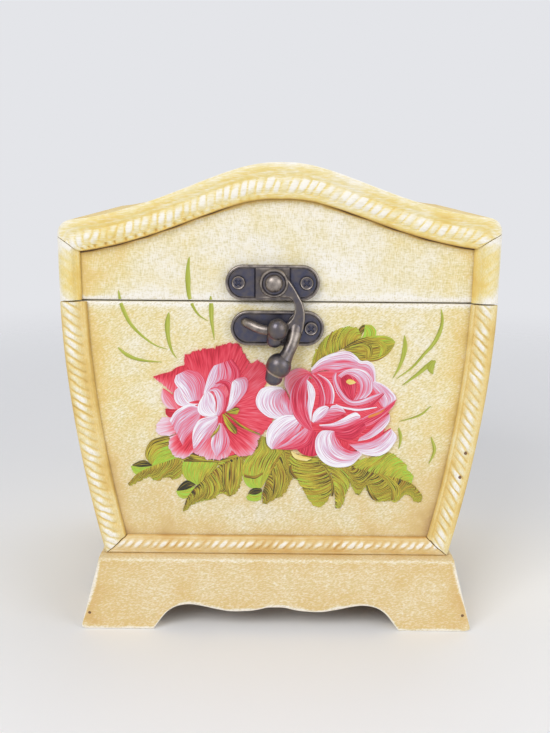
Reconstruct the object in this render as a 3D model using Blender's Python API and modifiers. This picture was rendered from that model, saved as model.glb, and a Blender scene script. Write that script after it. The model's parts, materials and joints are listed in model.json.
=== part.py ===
"""A small painted keepsake chest on a scalloped plinth, closed by a swing-arm hook latch.

Metres, +Z up, front towards -Y, +X to the viewer's right. The origin lies on the floor under the
middle of the whole object. The body's front and back are flat boards with curved ends, and thin
side boards bend round them. The lid is made the same way under a bell-shaped roof.
"""

import math

import bmesh
import bpy
import numpy as np
from mathutils import Matrix, Vector

# Carcass: heights add up from the floor, and widths from the seam down to the plinth
CARCASS_DEPTH = 0.110
TOP_HALF_WIDTH = 0.0772
BODY_FLARE = 0.0129
BASE_HEIGHT = 0.0289
BODY_HEIGHT = 0.0957
LID_WALL_HEIGHT = 0.0289
CROWN_RISE = 0.0195
SEAM_GAP = 0.0006
SHOULDER_RADIUS = 0.0050
# The handmade roof sits a little higher at its right-hand eaves than at its left.
ROOF_LEAN = 0.0010
PANEL_THICKNESS = 0.0050
SIDE_THICKNESS = 0.0038
FLOOR_THICKNESS = 0.0040
ROOF_THICKNESS = 0.0034
FIT_GAP = 0.0003
CUT_OVERRUN = 0.0020

# The sides drop away from the seam as a power of the share of the body's height.
FLARE_POWER = 1.77
FLARE_STEPS = 14
# Share of the roof's half width, and share of its rise above the shoulder.
CROWN_SHARES = (
    (0.0, 1.0), (0.07, 0.99), (0.143, 0.95), (0.256, 0.835), (0.369, 0.685),
    (0.483, 0.525), (0.6, 0.368), (0.714, 0.235), (0.829, 0.125), (0.944, 0.045), (1.0, 0.02),
)
CROWN_STEPS = 15
ROUND_STEPS = 5

# Frame mouldings on the front
MOULDING_PROUD = 0.0032
MOULDING_ROUND = 0.0022
MOULDING_ROUND_STEPS = 3
# The most of a moulding's thickness that its rounding takes.
MOULDING_ROUND_SHARE = 0.9
LID_BAND_CROWN = 0.0124
LID_BAND_SHOULDER = 0.0110
LID_END_BAND_LEFT = 0.0074
LID_END_BAND_RIGHT = 0.0090
BODY_SIDE_BAND = 0.0092
BODY_BOTTOM_BAND = 0.0067
MOULDING_BRAD_INSET = 0.0037
MOULDING_BRAD_RISE = 0.0317
MOULDING_BRAD_SPACING = 0.0093

# Plinth
BASE_PROUD = 0.0035
BASE_LEDGE = 0.0024
BASE_SPLAY = 0.0079
APRON_THICKNESS = 0.0060
SIDE_APRON_THICKNESS = 0.0050
PLINTH_TOP_THICKNESS = 0.0045
FOOT_WIDTH = 0.0276
SCALLOP_HEIGHT = 0.0103
FOOT_ROUND = 0.0022
# Share of the arch's half width from its middle, and share of the scallop's height.
SCALLOP_SHARES = (
    (0.0, 0.9), (0.065, 0.89), (0.13, 0.82), (0.19, 0.765), (0.255, 0.74), (0.32, 0.725),
    (0.385, 0.735), (0.45, 0.785), (0.51, 0.84), (0.575, 0.91), (0.64, 0.97), (0.705, 1.0),
    (0.77, 0.965), (0.835, 0.86), (0.895, 0.65), (0.95, 0.33), (1.0, 0.0),
)

# Brads
BRAD_RADIUS = 0.0006
BRAD_LENGTH = 0.0045
MOULDING_BRAD_LENGTH = 0.0022
BRAD_FOOT_INSET = 0.0024
BRAD_FOOT_HEIGHT = 0.0068
HOLE_CLEARANCE = 0.0003
SMALL_ROUND_SIDES = 12

# Latch plates
PLATE_LENGTH = 0.0332
UPPER_PLATE_WIDTH = 0.0125
LOWER_PLATE_WIDTH = 0.0125
PLATE_THICKNESS = 0.0020
PLATE_RIM = 0.0011
POCKET_DEPTH = 0.0010
PIVOT_LAND_HALF_LENGTH = 0.0062
UPPER_PLATE_X = -0.0023
UPPER_PLATE_RISE = 0.0070
LOWER_PLATE_X = -0.0005
LOWER_PLATE_DROP = 0.0092
PLATE_SCREW_REACH = 0.0120
ROUND_END_STEPS = 10

# Latch screws
SCREW_HEAD_RADIUS = 0.0025
SCREW_HEAD_THICKNESS = 0.0006
# Share of a head's radius that is flat on top.
HEAD_FLAT_SHARE = 0.85
SCREW_SHANK_RADIUS = 0.0009
SCREW_SHANK_LENGTH = 0.0050
CROSS_LENGTH = 0.0026
CROSS_WIDTH = 0.0006
CROSS_DEPTH = 0.0004

# Swinging hook
PIVOT_SHIFT = 0.0005
PIVOT_RISE = 0.0002
EYE_RADIUS = 0.0051
EYE_EXTRA = 0.0002
ARM_THICKNESS = 0.0022
ARM_REACH = 0.0112
ARM_DROP = 0.0195
ROD_RADIUS = 0.0021
KNOB_RADIUS = 0.0046
KNOB_DROP = 0.0292
KNOB_OFFSET = 0.0022
KNOB_STAND = 0.0038
NUB_RADIUS = 0.0034
NUB_LENGTH = 0.0044
NUB_DROP = 0.0034
NUB_OFFSET = 0.0016
NUB_SETBACK = 0.0010
BALL_SIDES = 16
BALL_RINGS = 10
# Outline of the flat arm from the top of the eye, as shares of its reach and its drop.
ARM_OUTLINE_SHARES = (
    (0.05, 0.235), (0.193, 0.212), (0.33, 0.148), (0.48, 0.044), (0.64, -0.073),
    (0.795, -0.218), (0.927, -0.349), (0.985, -0.49), (1.0, -0.61), (0.977, -0.728),
    (0.936, -0.846), (0.872, -0.95), (0.76, -1.0), (0.58, -1.0), (0.455, -0.95),
    (0.44, -0.87), (0.404, -0.8), (0.413, -0.744), (0.56, -0.656), (0.65, -0.554),
    (0.668, -0.436), (0.615, -0.325), (0.48, -0.262), (0.2, -0.21),
)
ARM_CURVE_STEPS = 3
# The rod from the arm to the knob: shares of the arm's reach, the knob's drop, and the way from
# the arm out to the knob.
ROD_SHARES = (
    (0.68, -0.56, 0.0), (0.67, -0.65, 0.12), (0.62, -0.73, 0.3), (0.5, -0.82, 0.6),
    (0.36, -0.91, 0.85), (0.25, -0.97, 1.0),
)
ROD_STEPS = 4

# Pivot rivet
RIVET_HEAD_RADIUS = 0.0029
RIVET_HEAD_HEIGHT = 0.0019
RIVET_SHANK_RADIUS = 0.0015
PIVOT_CLEARANCE = 0.0003
RIVET_DEPTH = 0.0030
DOME_STEPS = 5
ROUND_SIDES = 20

# Fixed horn on the lower plate
HORN_RADIUS = 0.0016
HORN_ROOT_REACH = 0.0115
HORN_RISE = 0.0023
HORN_STAND = 0.0062
HORN_CAP_RADIUS = 0.0038
HORN_CAP_HEIGHT = 0.0043
HORN_CAP_RISE = 0.0005
HORN_NUB_RADIUS = 0.0029
HORN_NUB_DROP = 0.0030
HORN_NUB_LENGTH = 0.0040
# Shares of the root's reach, its rise and the horn's stand, from root to cap.
HORN_SHARES = (
    (-1.0, 1.0, 0.28), (-0.86, 0.86, 0.52), (-0.66, 0.55, 0.78), (-0.4, 0.12, 0.96), (0.0, 0.0, 1.0),
)
HORN_STEPS = 3

# Hinges on the back
HINGE_INSET = 0.0322
HINGE_LENGTH = 0.0220
LEAF_WIDTH = 0.0110
LEAF_THICKNESS = 0.0008
BARREL_RADIUS = 0.0019
PIN_RADIUS = 0.0008
PIN_CLEARANCE = 0.0002
KNUCKLE_GAP = 0.0004
MIDDLE_KNUCKLE_SHARE = 0.34
HINGE_SCREW_SPREAD = 0.0130
HINGE_HEAD_RADIUS = 0.0015
HINGE_HEAD_THICKNESS = 0.0005
HINGE_SHANK_RADIUS = 0.0006
HINGE_SHANK_LENGTH = 0.0042
BARREL_SIDES = 20

# Places worked out from the sizes above
SEAM_HEIGHT = BASE_HEIGHT + BODY_HEIGHT
SHOULDER_HEIGHT = SEAM_HEIGHT + LID_WALL_HEIGHT
CROWN_HEIGHT = SHOULDER_HEIGHT + CROWN_RISE
BOTTOM_HALF_WIDTH = TOP_HALF_WIDTH - BODY_FLARE
BASE_TOP_HALF_WIDTH = BOTTOM_HALF_WIDTH + BASE_LEDGE
BASE_BOTTOM_HALF_WIDTH = BASE_TOP_HALF_WIDTH + BASE_SPLAY
BODY_BOTTOM = BASE_HEIGHT + FIT_GAP
BODY_TOP = SEAM_HEIGHT - SEAM_GAP / 2
LID_BOTTOM = SEAM_HEIGHT + SEAM_GAP / 2
ARM_BACK = FIT_GAP + PLATE_THICKNESS + FIT_GAP
KNOB_CENTRE = ARM_BACK + ARM_THICKNESS / 2 + KNOB_STAND
FRONT_REACH = KNOB_CENTRE + KNOB_RADIUS - MOULDING_PROUD
BACK_REACH = max(BASE_PROUD, FIT_GAP + 2 * BARREL_RADIUS)
FRONT_Y = (FRONT_REACH - BACK_REACH - CARCASS_DEPTH) / 2
BACK_Y = FRONT_Y + CARCASS_DEPTH
PANEL_Y = FRONT_Y + MOULDING_PROUD
ROOF_HALF_WIDTH = TOP_HALF_WIDTH - SHOULDER_RADIUS
EAVES_HEIGHT = SHOULDER_HEIGHT - SHOULDER_RADIUS
ARCH_HALF_WIDTH = BASE_BOTTOM_HALF_WIDTH - FOOT_WIDTH
UPPER_PLATE_Z = SEAM_HEIGHT + UPPER_PLATE_RISE
LOWER_PLATE_Z = SEAM_HEIGHT - LOWER_PLATE_DROP
PIVOT_X = UPPER_PLATE_X + PIVOT_SHIFT
PIVOT_Z = UPPER_PLATE_Z + PIVOT_RISE
HINGE_X = TOP_HALF_WIDTH - HINGE_INSET
HINGE_Y = BACK_Y + FIT_GAP + BARREL_RADIUS

# Meshes: points nearer than this are one point
WELD = 0.00001

# Colours (linear), roughness and metallic value of each material
CREAM = ((0.84, 0.77, 0.52, 1.0), 0.55, 0.0)
CREAM_WORN = ((0.86, 0.79, 0.56, 1.0), 0.6, 0.0)
BARE_WOOD = ((0.42, 0.27, 0.13, 1.0), 0.65, 0.0)
BRONZE = ((0.16, 0.13, 0.12, 1.0), 0.38, 0.9)
STEEL = ((0.30, 0.29, 0.30, 1.0), 0.35, 1.0)


def clear_scene():
    for old in list(bpy.data.objects):
        bpy.data.objects.remove(old, do_unlink=True)


def new_collection(name):
    collection = bpy.data.collections.new(name)
    bpy.context.scene.collection.children.link(collection)
    return collection


def material(name, finish):
    """A Principled material of its own for one piece."""
    colour, roughness, metallic = finish
    made = bpy.data.materials.new(name)
    made.use_nodes = True
    shader = made.node_tree.nodes["Principled BSDF"]
    shader.inputs["Base Color"].default_value = colour
    shader.inputs["Roughness"].default_value = roughness
    shader.inputs["Metallic"].default_value = metallic
    return made


def smooth_table(table, places):
    """Values of a table of shares at the given places, on a smooth curve through its rows."""
    table = np.array(table)
    xs, ys = table[:, 0], table[:, 1]
    slopes = np.gradient(ys, xs)
    row = np.clip(np.searchsorted(xs, places, side="right") - 1, 0, len(xs) - 2)
    width = xs[row + 1] - xs[row]
    t = (places - xs[row]) / width
    return (
        (2 * t**3 - 3 * t**2 + 1) * ys[row]
        + (t**3 - 2 * t**2 + t) * width * slopes[row]
        + (3 * t**2 - 2 * t**3) * ys[row + 1]
        + (t**3 - t**2) * width * slopes[row + 1]
    )


def smooth_path(points, steps, closed=False):
    """A path through all the points, each span split in equal steps of a Catmull-Rom curve."""
    points = np.array(points, dtype=float)
    if closed:
        padded = np.vstack([points[-1], points, points[0], points[1]])
    else:
        padded = np.vstack([2 * points[0] - points[1], points, 2 * points[-1] - points[-2]])
    spans = len(padded) - 3
    t = (np.arange(spans * steps) % steps / steps)[:, None]
    a, b, c, d = (padded[k:k + spans].repeat(steps, axis=0) for k in range(4))
    path = 2 * b + (c - a) * t + (2 * a - 5 * b + 4 * c - d) * t**2 + (3 * b - a - 3 * c + d) * t**3
    return path / 2 if closed else np.vstack([path / 2, points[-1]])


def body_half_width(height):
    """Half the body's width at a height: widest at the seam, drawn in towards the plinth."""
    share = (SEAM_HEIGHT - np.asarray(height)) / (SEAM_HEIGHT - BODY_BOTTOM)
    return TOP_HALF_WIDTH - BODY_FLARE * np.clip(share, 0, None) ** FLARE_POWER


def lean(x):
    """How much higher the leaning roof is at a place across the width."""
    return ROOF_LEAN * np.asarray(x) / TOP_HALF_WIDTH


def roof_height(x):
    """Height of a level roof's outer face over a place across the width."""
    share = smooth_table(CROWN_SHARES, np.abs(np.asarray(x, dtype=float)) / ROOF_HALF_WIDTH)
    return SHOULDER_HEIGHT + CROWN_RISE * share


def roof_path():
    """The roof's outer face from the left eaves over the crown to the right eaves."""
    half = np.linspace(0, ROOF_HALF_WIDTH, CROWN_STEPS + 1)
    crown = np.column_stack([half, roof_height(half)])
    end = crown[-1, 1]
    turn = np.linspace(math.pi / 2, 0, ROUND_STEPS + 1)[1:]
    corner = np.column_stack([
        ROOF_HALF_WIDTH + SHOULDER_RADIUS * np.cos(turn),
        EAVES_HEIGHT + (end - EAVES_HEIGHT) * np.sin(turn),
    ])
    right = np.vstack([crown, corner])
    left = right[:0:-1] * (-1, 1)
    path = np.vstack([left, right])
    path[:, 1] += lean(path[:, 0])
    return path


def inset(path, distance):
    """A path moved to its right-hand side by a distance, measured square to it."""
    along = np.gradient(path, axis=0)
    along /= np.linalg.norm(along, axis=1)[:, None]
    return path + distance * np.column_stack([along[:, 1], -along[:, 0]])


def roof_inner(distance):
    """The roof's path set in by a distance, its ends level with the eaves."""
    path = inset(roof_path(), distance)
    half = TOP_HALF_WIDTH - distance
    path[0], path[-1] = (-half, eaves_height(-1)), (half, eaves_height(1))
    return path


def eaves_height(side):
    """Height of the roof's lower edge at one end, -1 for the left and 1 for the right."""
    return EAVES_HEIGHT + side * ROOF_LEAN


def flare_path(bottom, top):
    """The body's right-hand edge between two heights, from bottom to top."""
    heights = np.linspace(bottom, top, FLARE_STEPS + 1)
    return np.column_stack([body_half_width(heights), heights])


def smooth_round(mesh, angle=40):
    mesh.shade_smooth()
    mesh.set_sharp_from_angle(angle=math.radians(angle))


def add(name, mesh, finish, location=(0, 0, 0), rotation=(0, 0, 0)):
    """A part object with its own material, linked to the chest's collection."""
    part = bpy.data.objects.new(name, mesh)
    part.location, part.rotation_euler = location, rotation
    if finish:
        mesh.materials.clear()
        mesh.materials.append(material(name, finish))
    chest.objects.link(part)
    return part


def outline_mesh(points, thickness):
    """A flat plate from a closed outline: a filled 2D curve made into a welded mesh."""
    curve = bpy.data.curves.new("outline", "CURVE")
    curve.dimensions = "2D"
    curve.fill_mode = "BOTH"
    curve.extrude = thickness / 2
    spline = curve.splines.new("POLY")
    spline.points.add(len(points) - 1)
    flat = np.column_stack([points, np.zeros(len(points)), np.ones(len(points))])
    spline.points.foreach_set("co", flat.ravel())
    spline.use_cyclic_u = True
    return curve_mesh(curve)


def curve_mesh(curve):
    """The curve's evaluated shape as a mesh, with its caps welded on."""
    holder = bpy.data.objects.new("holder", curve)
    chest.objects.link(holder)
    bpy.context.view_layer.update()
    depsgraph = bpy.context.evaluated_depsgraph_get()
    mesh = bpy.data.meshes.new_from_object(holder.evaluated_get(depsgraph))
    bpy.data.objects.remove(holder, do_unlink=True)
    bpy.data.curves.remove(curve)
    shape = bmesh.new()
    shape.from_mesh(mesh)
    bmesh.ops.remove_doubles(shape, verts=shape.verts, dist=WELD)
    bmesh.ops.recalc_face_normals(shape, faces=shape.faces)
    shape.to_mesh(mesh)
    shape.free()
    return mesh


def upright_board(name, points, thickness, front, finish, round_over=None):
    """A board standing across the chest: its outline in X and Z, its front face at a given Y."""
    mesh = outline_mesh(points, thickness)
    if round_over:
        round_front_edges(mesh, thickness, round_over)
    return add(name, mesh, finish, (0, front + thickness / 2, 0), (math.pi / 2, 0, 0))


def round_front_edges(mesh, thickness, radius):
    """Rounds the edges of the face that will look to the front."""
    shape = bmesh.new()
    shape.from_mesh(mesh)
    bmesh.ops.dissolve_limit(
        shape, angle_limit=math.radians(0.5), verts=[],
        edges=[e for e in shape.edges if abs(e.verts[0].co.z - e.verts[1].co.z) < WELD],
    )
    front = [
        e for e in shape.edges
        if all(v.co.z > thickness / 2 - WELD for v in e.verts) and e.calc_face_angle(0) > 1
    ]
    bmesh.ops.bevel(
        shape, geom=front, offset=radius, segments=MOULDING_ROUND_STEPS, profile=0.5,
        affect="EDGES", clamp_overlap=True,
    )
    bmesh.ops.recalc_face_normals(shape, faces=shape.faces)
    shape.to_mesh(mesh)
    shape.free()
    smooth_round(mesh)


def box(name, low, high, finish):
    """A square board between two corners."""
    low, high = Vector(low), Vector(high)
    bpy.ops.mesh.primitive_cube_add(size=1)
    made = bpy.context.object
    mesh = made.data
    bpy.data.objects.remove(made, do_unlink=True)
    mesh.transform(Matrix.Diagonal((high - low).to_4d()))
    return add(name, mesh, finish, (low + high) / 2)


def turned_mesh(profile, sides):
    """A turned solid about the mesh's Z axis, from a profile of (radius, height), top to bottom."""
    mesh = bpy.data.meshes.new("profile")
    mesh.from_pydata([(r, 0, z) for r, z in profile], [(k, k + 1) for k in range(len(profile) - 1)], [])
    holder = bpy.data.objects.new("holder", mesh)
    chest.objects.link(holder)
    screw = holder.modifiers.new("turn", "SCREW")
    screw.angle = 2 * math.pi
    screw.steps = screw.render_steps = sides
    screw.use_merge_vertices = True
    screw.merge_threshold = WELD
    bpy.context.view_layer.update()
    depsgraph = bpy.context.evaluated_depsgraph_get()
    turned = bpy.data.meshes.new_from_object(holder.evaluated_get(depsgraph))
    bpy.data.objects.remove(holder, do_unlink=True)
    bpy.data.meshes.remove(mesh)
    return turned


def cylinder_mesh(radius, length, sides):
    """A plain cylinder about Z, its middle at the origin."""
    shape = bmesh.new()
    bmesh.ops.create_cone(
        shape, cap_ends=True, segments=sides, radius1=radius, radius2=radius, depth=length
    )
    mesh = bpy.data.meshes.new("cylinder")
    shape.to_mesh(mesh)
    shape.free()
    return mesh


def tube_mesh(path, radius):
    """A round rod along a path of points, with filled ends."""
    curve = bpy.data.curves.new("rod", "CURVE")
    curve.dimensions = "3D"
    curve.bevel_depth = radius
    curve.bevel_resolution = 2
    curve.use_fill_caps = True
    spline = curve.splines.new("POLY")
    spline.points.add(len(path) - 1)
    spline.points.foreach_set("co", np.column_stack([path, np.ones(len(path))]).ravel())
    return curve_mesh(curve)


def egg_mesh(radius, length, centre):
    """An egg-shaped solid: round in plan, its half height along Z given apart."""
    shape = bmesh.new()
    bmesh.ops.create_uvsphere(shape, u_segments=BALL_SIDES, v_segments=BALL_RINGS, radius=1)
    mesh = bpy.data.meshes.new("egg")
    shape.to_mesh(mesh)
    shape.free()
    mesh.transform(Matrix.Translation(centre) @ Matrix.Diagonal((radius, radius, length, 1)))
    return mesh


def boolean(part, mesh, operation, matrix=None):
    """Cuts or joins a part with a helper mesh given in world space, and keeps the result."""
    tool = bpy.data.objects.new(part.name + "_tool", mesh)
    if matrix is not None:
        tool.matrix_world = matrix
    tool.hide_render = True
    tool.display_type = "WIRE"
    cutters.objects.link(tool)
    modifier = part.modifiers.new(operation.lower(), "BOOLEAN")
    modifier.operation = operation
    modifier.solver = "EXACT"
    modifier.object = tool
    bpy.context.view_layer.update()
    depsgraph = bpy.context.evaluated_depsgraph_get()
    result = bpy.data.meshes.new_from_object(part.evaluated_get(depsgraph))
    part.modifiers.clear()
    part.data = result
    bpy.data.objects.remove(tool, do_unlink=True)
    return part


def drill(part, x, z, radius, start, depth, sides=SMALL_ROUND_SIDES):
    """Drills a part along Y from a start plane; a negative depth drills towards the front."""
    reach = abs(depth) + CUT_OVERRUN
    middle = start + math.copysign(reach / 2 - CUT_OVERRUN, depth)
    where = Matrix.Translation((x, middle, z)) @ Matrix.Rotation(math.pi / 2, 4, "X")
    return boolean(part, cylinder_mesh(radius, reach, sides), "DIFFERENCE", where)


def tidy_round(part, angle=40):
    smooth_round(part.data, angle)
    return part


# Carcass boards


def side_board_outline(side):
    outer = flare_path(BODY_BOTTOM, BODY_TOP)
    inner = outer - (SIDE_THICKNESS, 0)
    return np.vstack([outer, inner[::-1]]) * (side, 1)


def body_panel_outline():
    edge = flare_path(BODY_BOTTOM, BODY_TOP) - (SIDE_THICKNESS + FIT_GAP, 0)
    return np.vstack([edge, edge[::-1] * (-1, 1)])


def lid_panel_outline():
    edge = roof_inner(ROOF_THICKNESS + FIT_GAP)
    half = TOP_HALF_WIDTH - ROOF_THICKNESS - FIT_GAP
    return np.vstack([(-half, LID_BOTTOM), edge, (half, LID_BOTTOM)])


def build_carcass():
    board_depth = BACK_Y - PANEL_Y
    for name, side in (("body_left_side", -1), ("body_right_side", 1)):
        upright_board(name, side_board_outline(side), board_depth, PANEL_Y, CREAM)
    front = upright_board("body_front_panel", body_panel_outline(), PANEL_THICKNESS, PANEL_Y, CREAM)
    back = upright_board(
        "body_back_panel", body_panel_outline(), PANEL_THICKNESS, BACK_Y - PANEL_THICKNESS, CREAM
    )
    half = float(body_half_width(BODY_BOTTOM)) - SIDE_THICKNESS - FIT_GAP
    inner_front = PANEL_Y + PANEL_THICKNESS + FIT_GAP
    inner_back = BACK_Y - PANEL_THICKNESS - FIT_GAP
    box(
        "body_floor", (-half, inner_front, BODY_BOTTOM),
        (half, inner_back, BODY_BOTTOM + FLOOR_THICKNESS), BARE_WOOD,
    )
    outline = np.vstack([roof_path(), roof_inner(ROOF_THICKNESS)[::-1]])
    upright_board("lid_roof", outline, board_depth, PANEL_Y, CREAM)
    for name, side in (("lid_left_end", -1), ("lid_right_end", 1)):
        near, far = TOP_HALF_WIDTH - ROOF_THICKNESS, TOP_HALF_WIDTH
        box(
            name, (min(side * near, side * far), PANEL_Y, LID_BOTTOM),
            (max(side * near, side * far), BACK_Y, eaves_height(side) - FIT_GAP), CREAM,
        )
    lid_front = upright_board("lid_front_panel", lid_panel_outline(), PANEL_THICKNESS, PANEL_Y, CREAM)
    lid_back = upright_board(
        "lid_back_panel", lid_panel_outline(), PANEL_THICKNESS, BACK_Y - PANEL_THICKNESS, CREAM
    )
    return front, back, lid_front, lid_back


# Mouldings


def lid_band_inner(x):
    """Lower edge of the lid's top moulding at a place across the width."""
    share = np.abs(x) / TOP_HALF_WIDTH
    return roof_height(x) + lean(x) - LID_BAND_CROWN + (LID_BAND_CROWN - LID_BAND_SHOULDER) * share


def lid_top_moulding_outline():
    outer = roof_path()
    left, right = TOP_HALF_WIDTH - LID_END_BAND_LEFT, TOP_HALF_WIDTH - LID_END_BAND_RIGHT
    across = np.linspace(right, -left, 2 * CROWN_STEPS + 1)
    return np.vstack([outer, np.column_stack([across, lid_band_inner(across)])])


def lid_end_moulding_outline(side, band):
    inner = TOP_HALF_WIDTH - band
    mitre = float(lid_band_inner(side * inner))
    points = [
        (TOP_HALF_WIDTH, LID_BOTTOM), (TOP_HALF_WIDTH, eaves_height(side) - FIT_GAP),
        (inner, mitre - FIT_GAP), (inner, LID_BOTTOM),
    ]
    return np.array(points) * (side, 1)


def body_side_moulding_outline(side):
    outer = flare_path(BODY_BOTTOM, BODY_TOP)
    inner = flare_path(BODY_BOTTOM + BODY_BOTTOM_BAND, BODY_TOP) - (BODY_SIDE_BAND, 0)
    return np.vstack([outer, inner[::-1]]) * (side, 1)


def body_bottom_moulding_outline():
    low = float(body_half_width(BODY_BOTTOM)) - 2 * FIT_GAP
    top = BODY_BOTTOM + BODY_BOTTOM_BAND
    high = float(body_half_width(top)) - BODY_SIDE_BAND - 2 * FIT_GAP
    return np.array([(low, BODY_BOTTOM), (high, top), (-high, top), (-low, BODY_BOTTOM)])


def build_mouldings():
    thickness = MOULDING_PROUD - FIT_GAP
    radius = min(MOULDING_ROUND, thickness * MOULDING_ROUND_SHARE)

    def moulding(name, outline):
        return upright_board(name, outline, thickness, FRONT_Y, CREAM_WORN, radius)

    moulding("lid_moulding_top", lid_top_moulding_outline())
    moulding("lid_moulding_left", lid_end_moulding_outline(-1, LID_END_BAND_LEFT))
    moulding("lid_moulding_right", lid_end_moulding_outline(1, LID_END_BAND_RIGHT))
    moulding("body_moulding_left", body_side_moulding_outline(-1))
    right = moulding("body_moulding_right", body_side_moulding_outline(1))
    moulding("body_moulding_bottom", body_bottom_moulding_outline())
    for name, step in (("moulding_brad_lower", 0), ("moulding_brad_upper", 1)):
        height = BASE_HEIGHT + MOULDING_BRAD_RISE + step * MOULDING_BRAD_SPACING
        x = float(body_half_width(height)) - MOULDING_BRAD_INSET
        place_brad(name, right, x, height, FRONT_Y, MOULDING_BRAD_LENGTH)


def place_brad(name, board, x, z, face, length):
    """A headless brad in a blind hole, its end level with the board's face."""
    towards = 1 if face < 0 else -1
    drill(board, x, z, BRAD_RADIUS + HOLE_CLEARANCE, face, towards * (length + FIT_GAP))
    mesh = cylinder_mesh(BRAD_RADIUS, length, SMALL_ROUND_SIDES)
    add(name, mesh, STEEL, (x, face + towards * length / 2, z), (math.pi / 2, 0, 0))


# Plinth


def scalloped_edge(arch_half_width):
    """The lower edge from the right foot's inner end to the left one's, as (along, height)."""
    shares = np.array([row[0] for row in SCALLOP_SHARES])
    heights = SCALLOP_HEIGHT * np.array([row[1] for row in SCALLOP_SHARES])
    right = np.column_stack([arch_half_width * shares, heights])
    return np.vstack([right[::-1], right[1:] * (-1, 1)])


def base_half_width(height):
    """Half the plinth's width at a height: its ends lean in towards the body."""
    return BASE_BOTTOM_HALF_WIDTH - BASE_SPLAY * np.asarray(height) / BASE_HEIGHT


def apron_outline():
    """The front or back apron: slanted ends, rounded foot corners and a scalloped lower edge."""
    edge = scalloped_edge(ARCH_HALF_WIDTH)
    right = [
        (BASE_BOTTOM_HALF_WIDTH - FOOT_ROUND, 0),
        (BASE_BOTTOM_HALF_WIDTH - FOOT_ROUND / 4, FOOT_ROUND / 4),
        (float(base_half_width(FOOT_ROUND)), FOOT_ROUND),
        (BASE_TOP_HALF_WIDTH, BASE_HEIGHT),
    ]
    left = [(-x, z) for x, z in reversed(right)]
    return np.vstack([right, left, edge[::-1]])


def side_apron_mesh(side):
    """A side apron: its outline along the depth, sheared so its face slants with the front's ends."""
    half = CARCASS_DEPTH / 2 + BASE_PROUD - APRON_THICKNESS - FIT_GAP
    arch = CARCASS_DEPTH / 2 + BASE_PROUD - FOOT_WIDTH
    edge = scalloped_edge(arch)
    outline = np.vstack([(half, 0), (half, BASE_HEIGHT), (-half, BASE_HEIGHT), (-half, 0), edge[::-1]])
    mesh = outline_mesh(outline, SIDE_APRON_THICKNESS)
    slope = -BASE_SPLAY / BASE_HEIGHT
    # The outline's own axes become the depth and the height; its thickness becomes the width.
    turn = Matrix(((0, slope * side, 1, 0), (1, 0, 0, 0), (0, 1, 0, 0), (0, 0, 0, 1)))
    mesh.transform(turn)
    return mesh


def build_plinth():
    front_face, back_face = FRONT_Y - BASE_PROUD, BACK_Y + BASE_PROUD
    middle = (FRONT_Y + BACK_Y) / 2
    front = upright_board("base_front", apron_outline(), APRON_THICKNESS, front_face, CREAM_WORN)
    back = upright_board(
        "base_back", apron_outline(), APRON_THICKNESS, back_face - APRON_THICKNESS, CREAM_WORN
    )
    for name, side in (("base_left", -1), ("base_right", 1)):
        x = side * (BASE_BOTTOM_HALF_WIDTH - SIDE_APRON_THICKNESS / 2)
        add(name, side_apron_mesh(side), CREAM_WORN, (x, middle, 0))
    half = BASE_TOP_HALF_WIDTH - SIDE_APRON_THICKNESS - FIT_GAP
    near = front_face + APRON_THICKNESS + FIT_GAP
    far = back_face - APRON_THICKNESS - FIT_GAP
    low = BASE_HEIGHT - PLINTH_TOP_THICKNESS
    box("base_top", (-half, near, low), (half, far, BASE_HEIGHT), BARE_WOOD)
    x = float(base_half_width(BRAD_FOOT_HEIGHT)) - BRAD_FOOT_INSET
    for row, board, face in (("front", front, front_face), ("back", back, back_face)):
        for name, side in (("left", -1), ("right", 1)):
            place_brad(f"base_brad_{row}_{name}", board, side * x, BRAD_FOOT_HEIGHT, face, BRAD_LENGTH)


# Latch


def stadium(length, width):
    """A closed outline with round ends, centred, its long way along X."""
    radius = width / 2
    turn = np.linspace(-math.pi / 2, math.pi / 2, ROUND_END_STEPS + 1)
    reach = length / 2 - radius
    right = np.column_stack([reach + radius * np.cos(turn), radius * np.sin(turn)])
    return np.vstack([right, -right])


def half_pocket(length, width, near, side):
    """A pocket with one round end, from a straight end near the plate's middle."""
    radius = width / 2
    turn = np.linspace(-math.pi / 2, math.pi / 2, ROUND_END_STEPS + 1)
    round_end = np.column_stack([length / 2 - radius + radius * np.cos(turn), radius * np.sin(turn)])
    return np.vstack([round_end, (near, radius), (near, -radius)]) * (side, 1)


def plate(name, x, z, width, pockets):
    """A latch plate with round ends and sunk pockets inside a raised rim."""
    back = PANEL_Y - FIT_GAP
    front = back - PLATE_THICKNESS
    made = upright_board(name, stadium(PLATE_LENGTH, width) + (x, z), PLATE_THICKNESS, front, BRONZE)
    for outline in pockets:
        cut = POCKET_DEPTH + CUT_OVERRUN
        mesh = outline_mesh(outline + (x, z), cut)
        depth = Matrix.Translation((0, front + POCKET_DEPTH - cut / 2, 0))
        boolean(made, mesh, "DIFFERENCE", depth @ Matrix.Rotation(math.pi / 2, 4, "X"))
    return made


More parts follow.
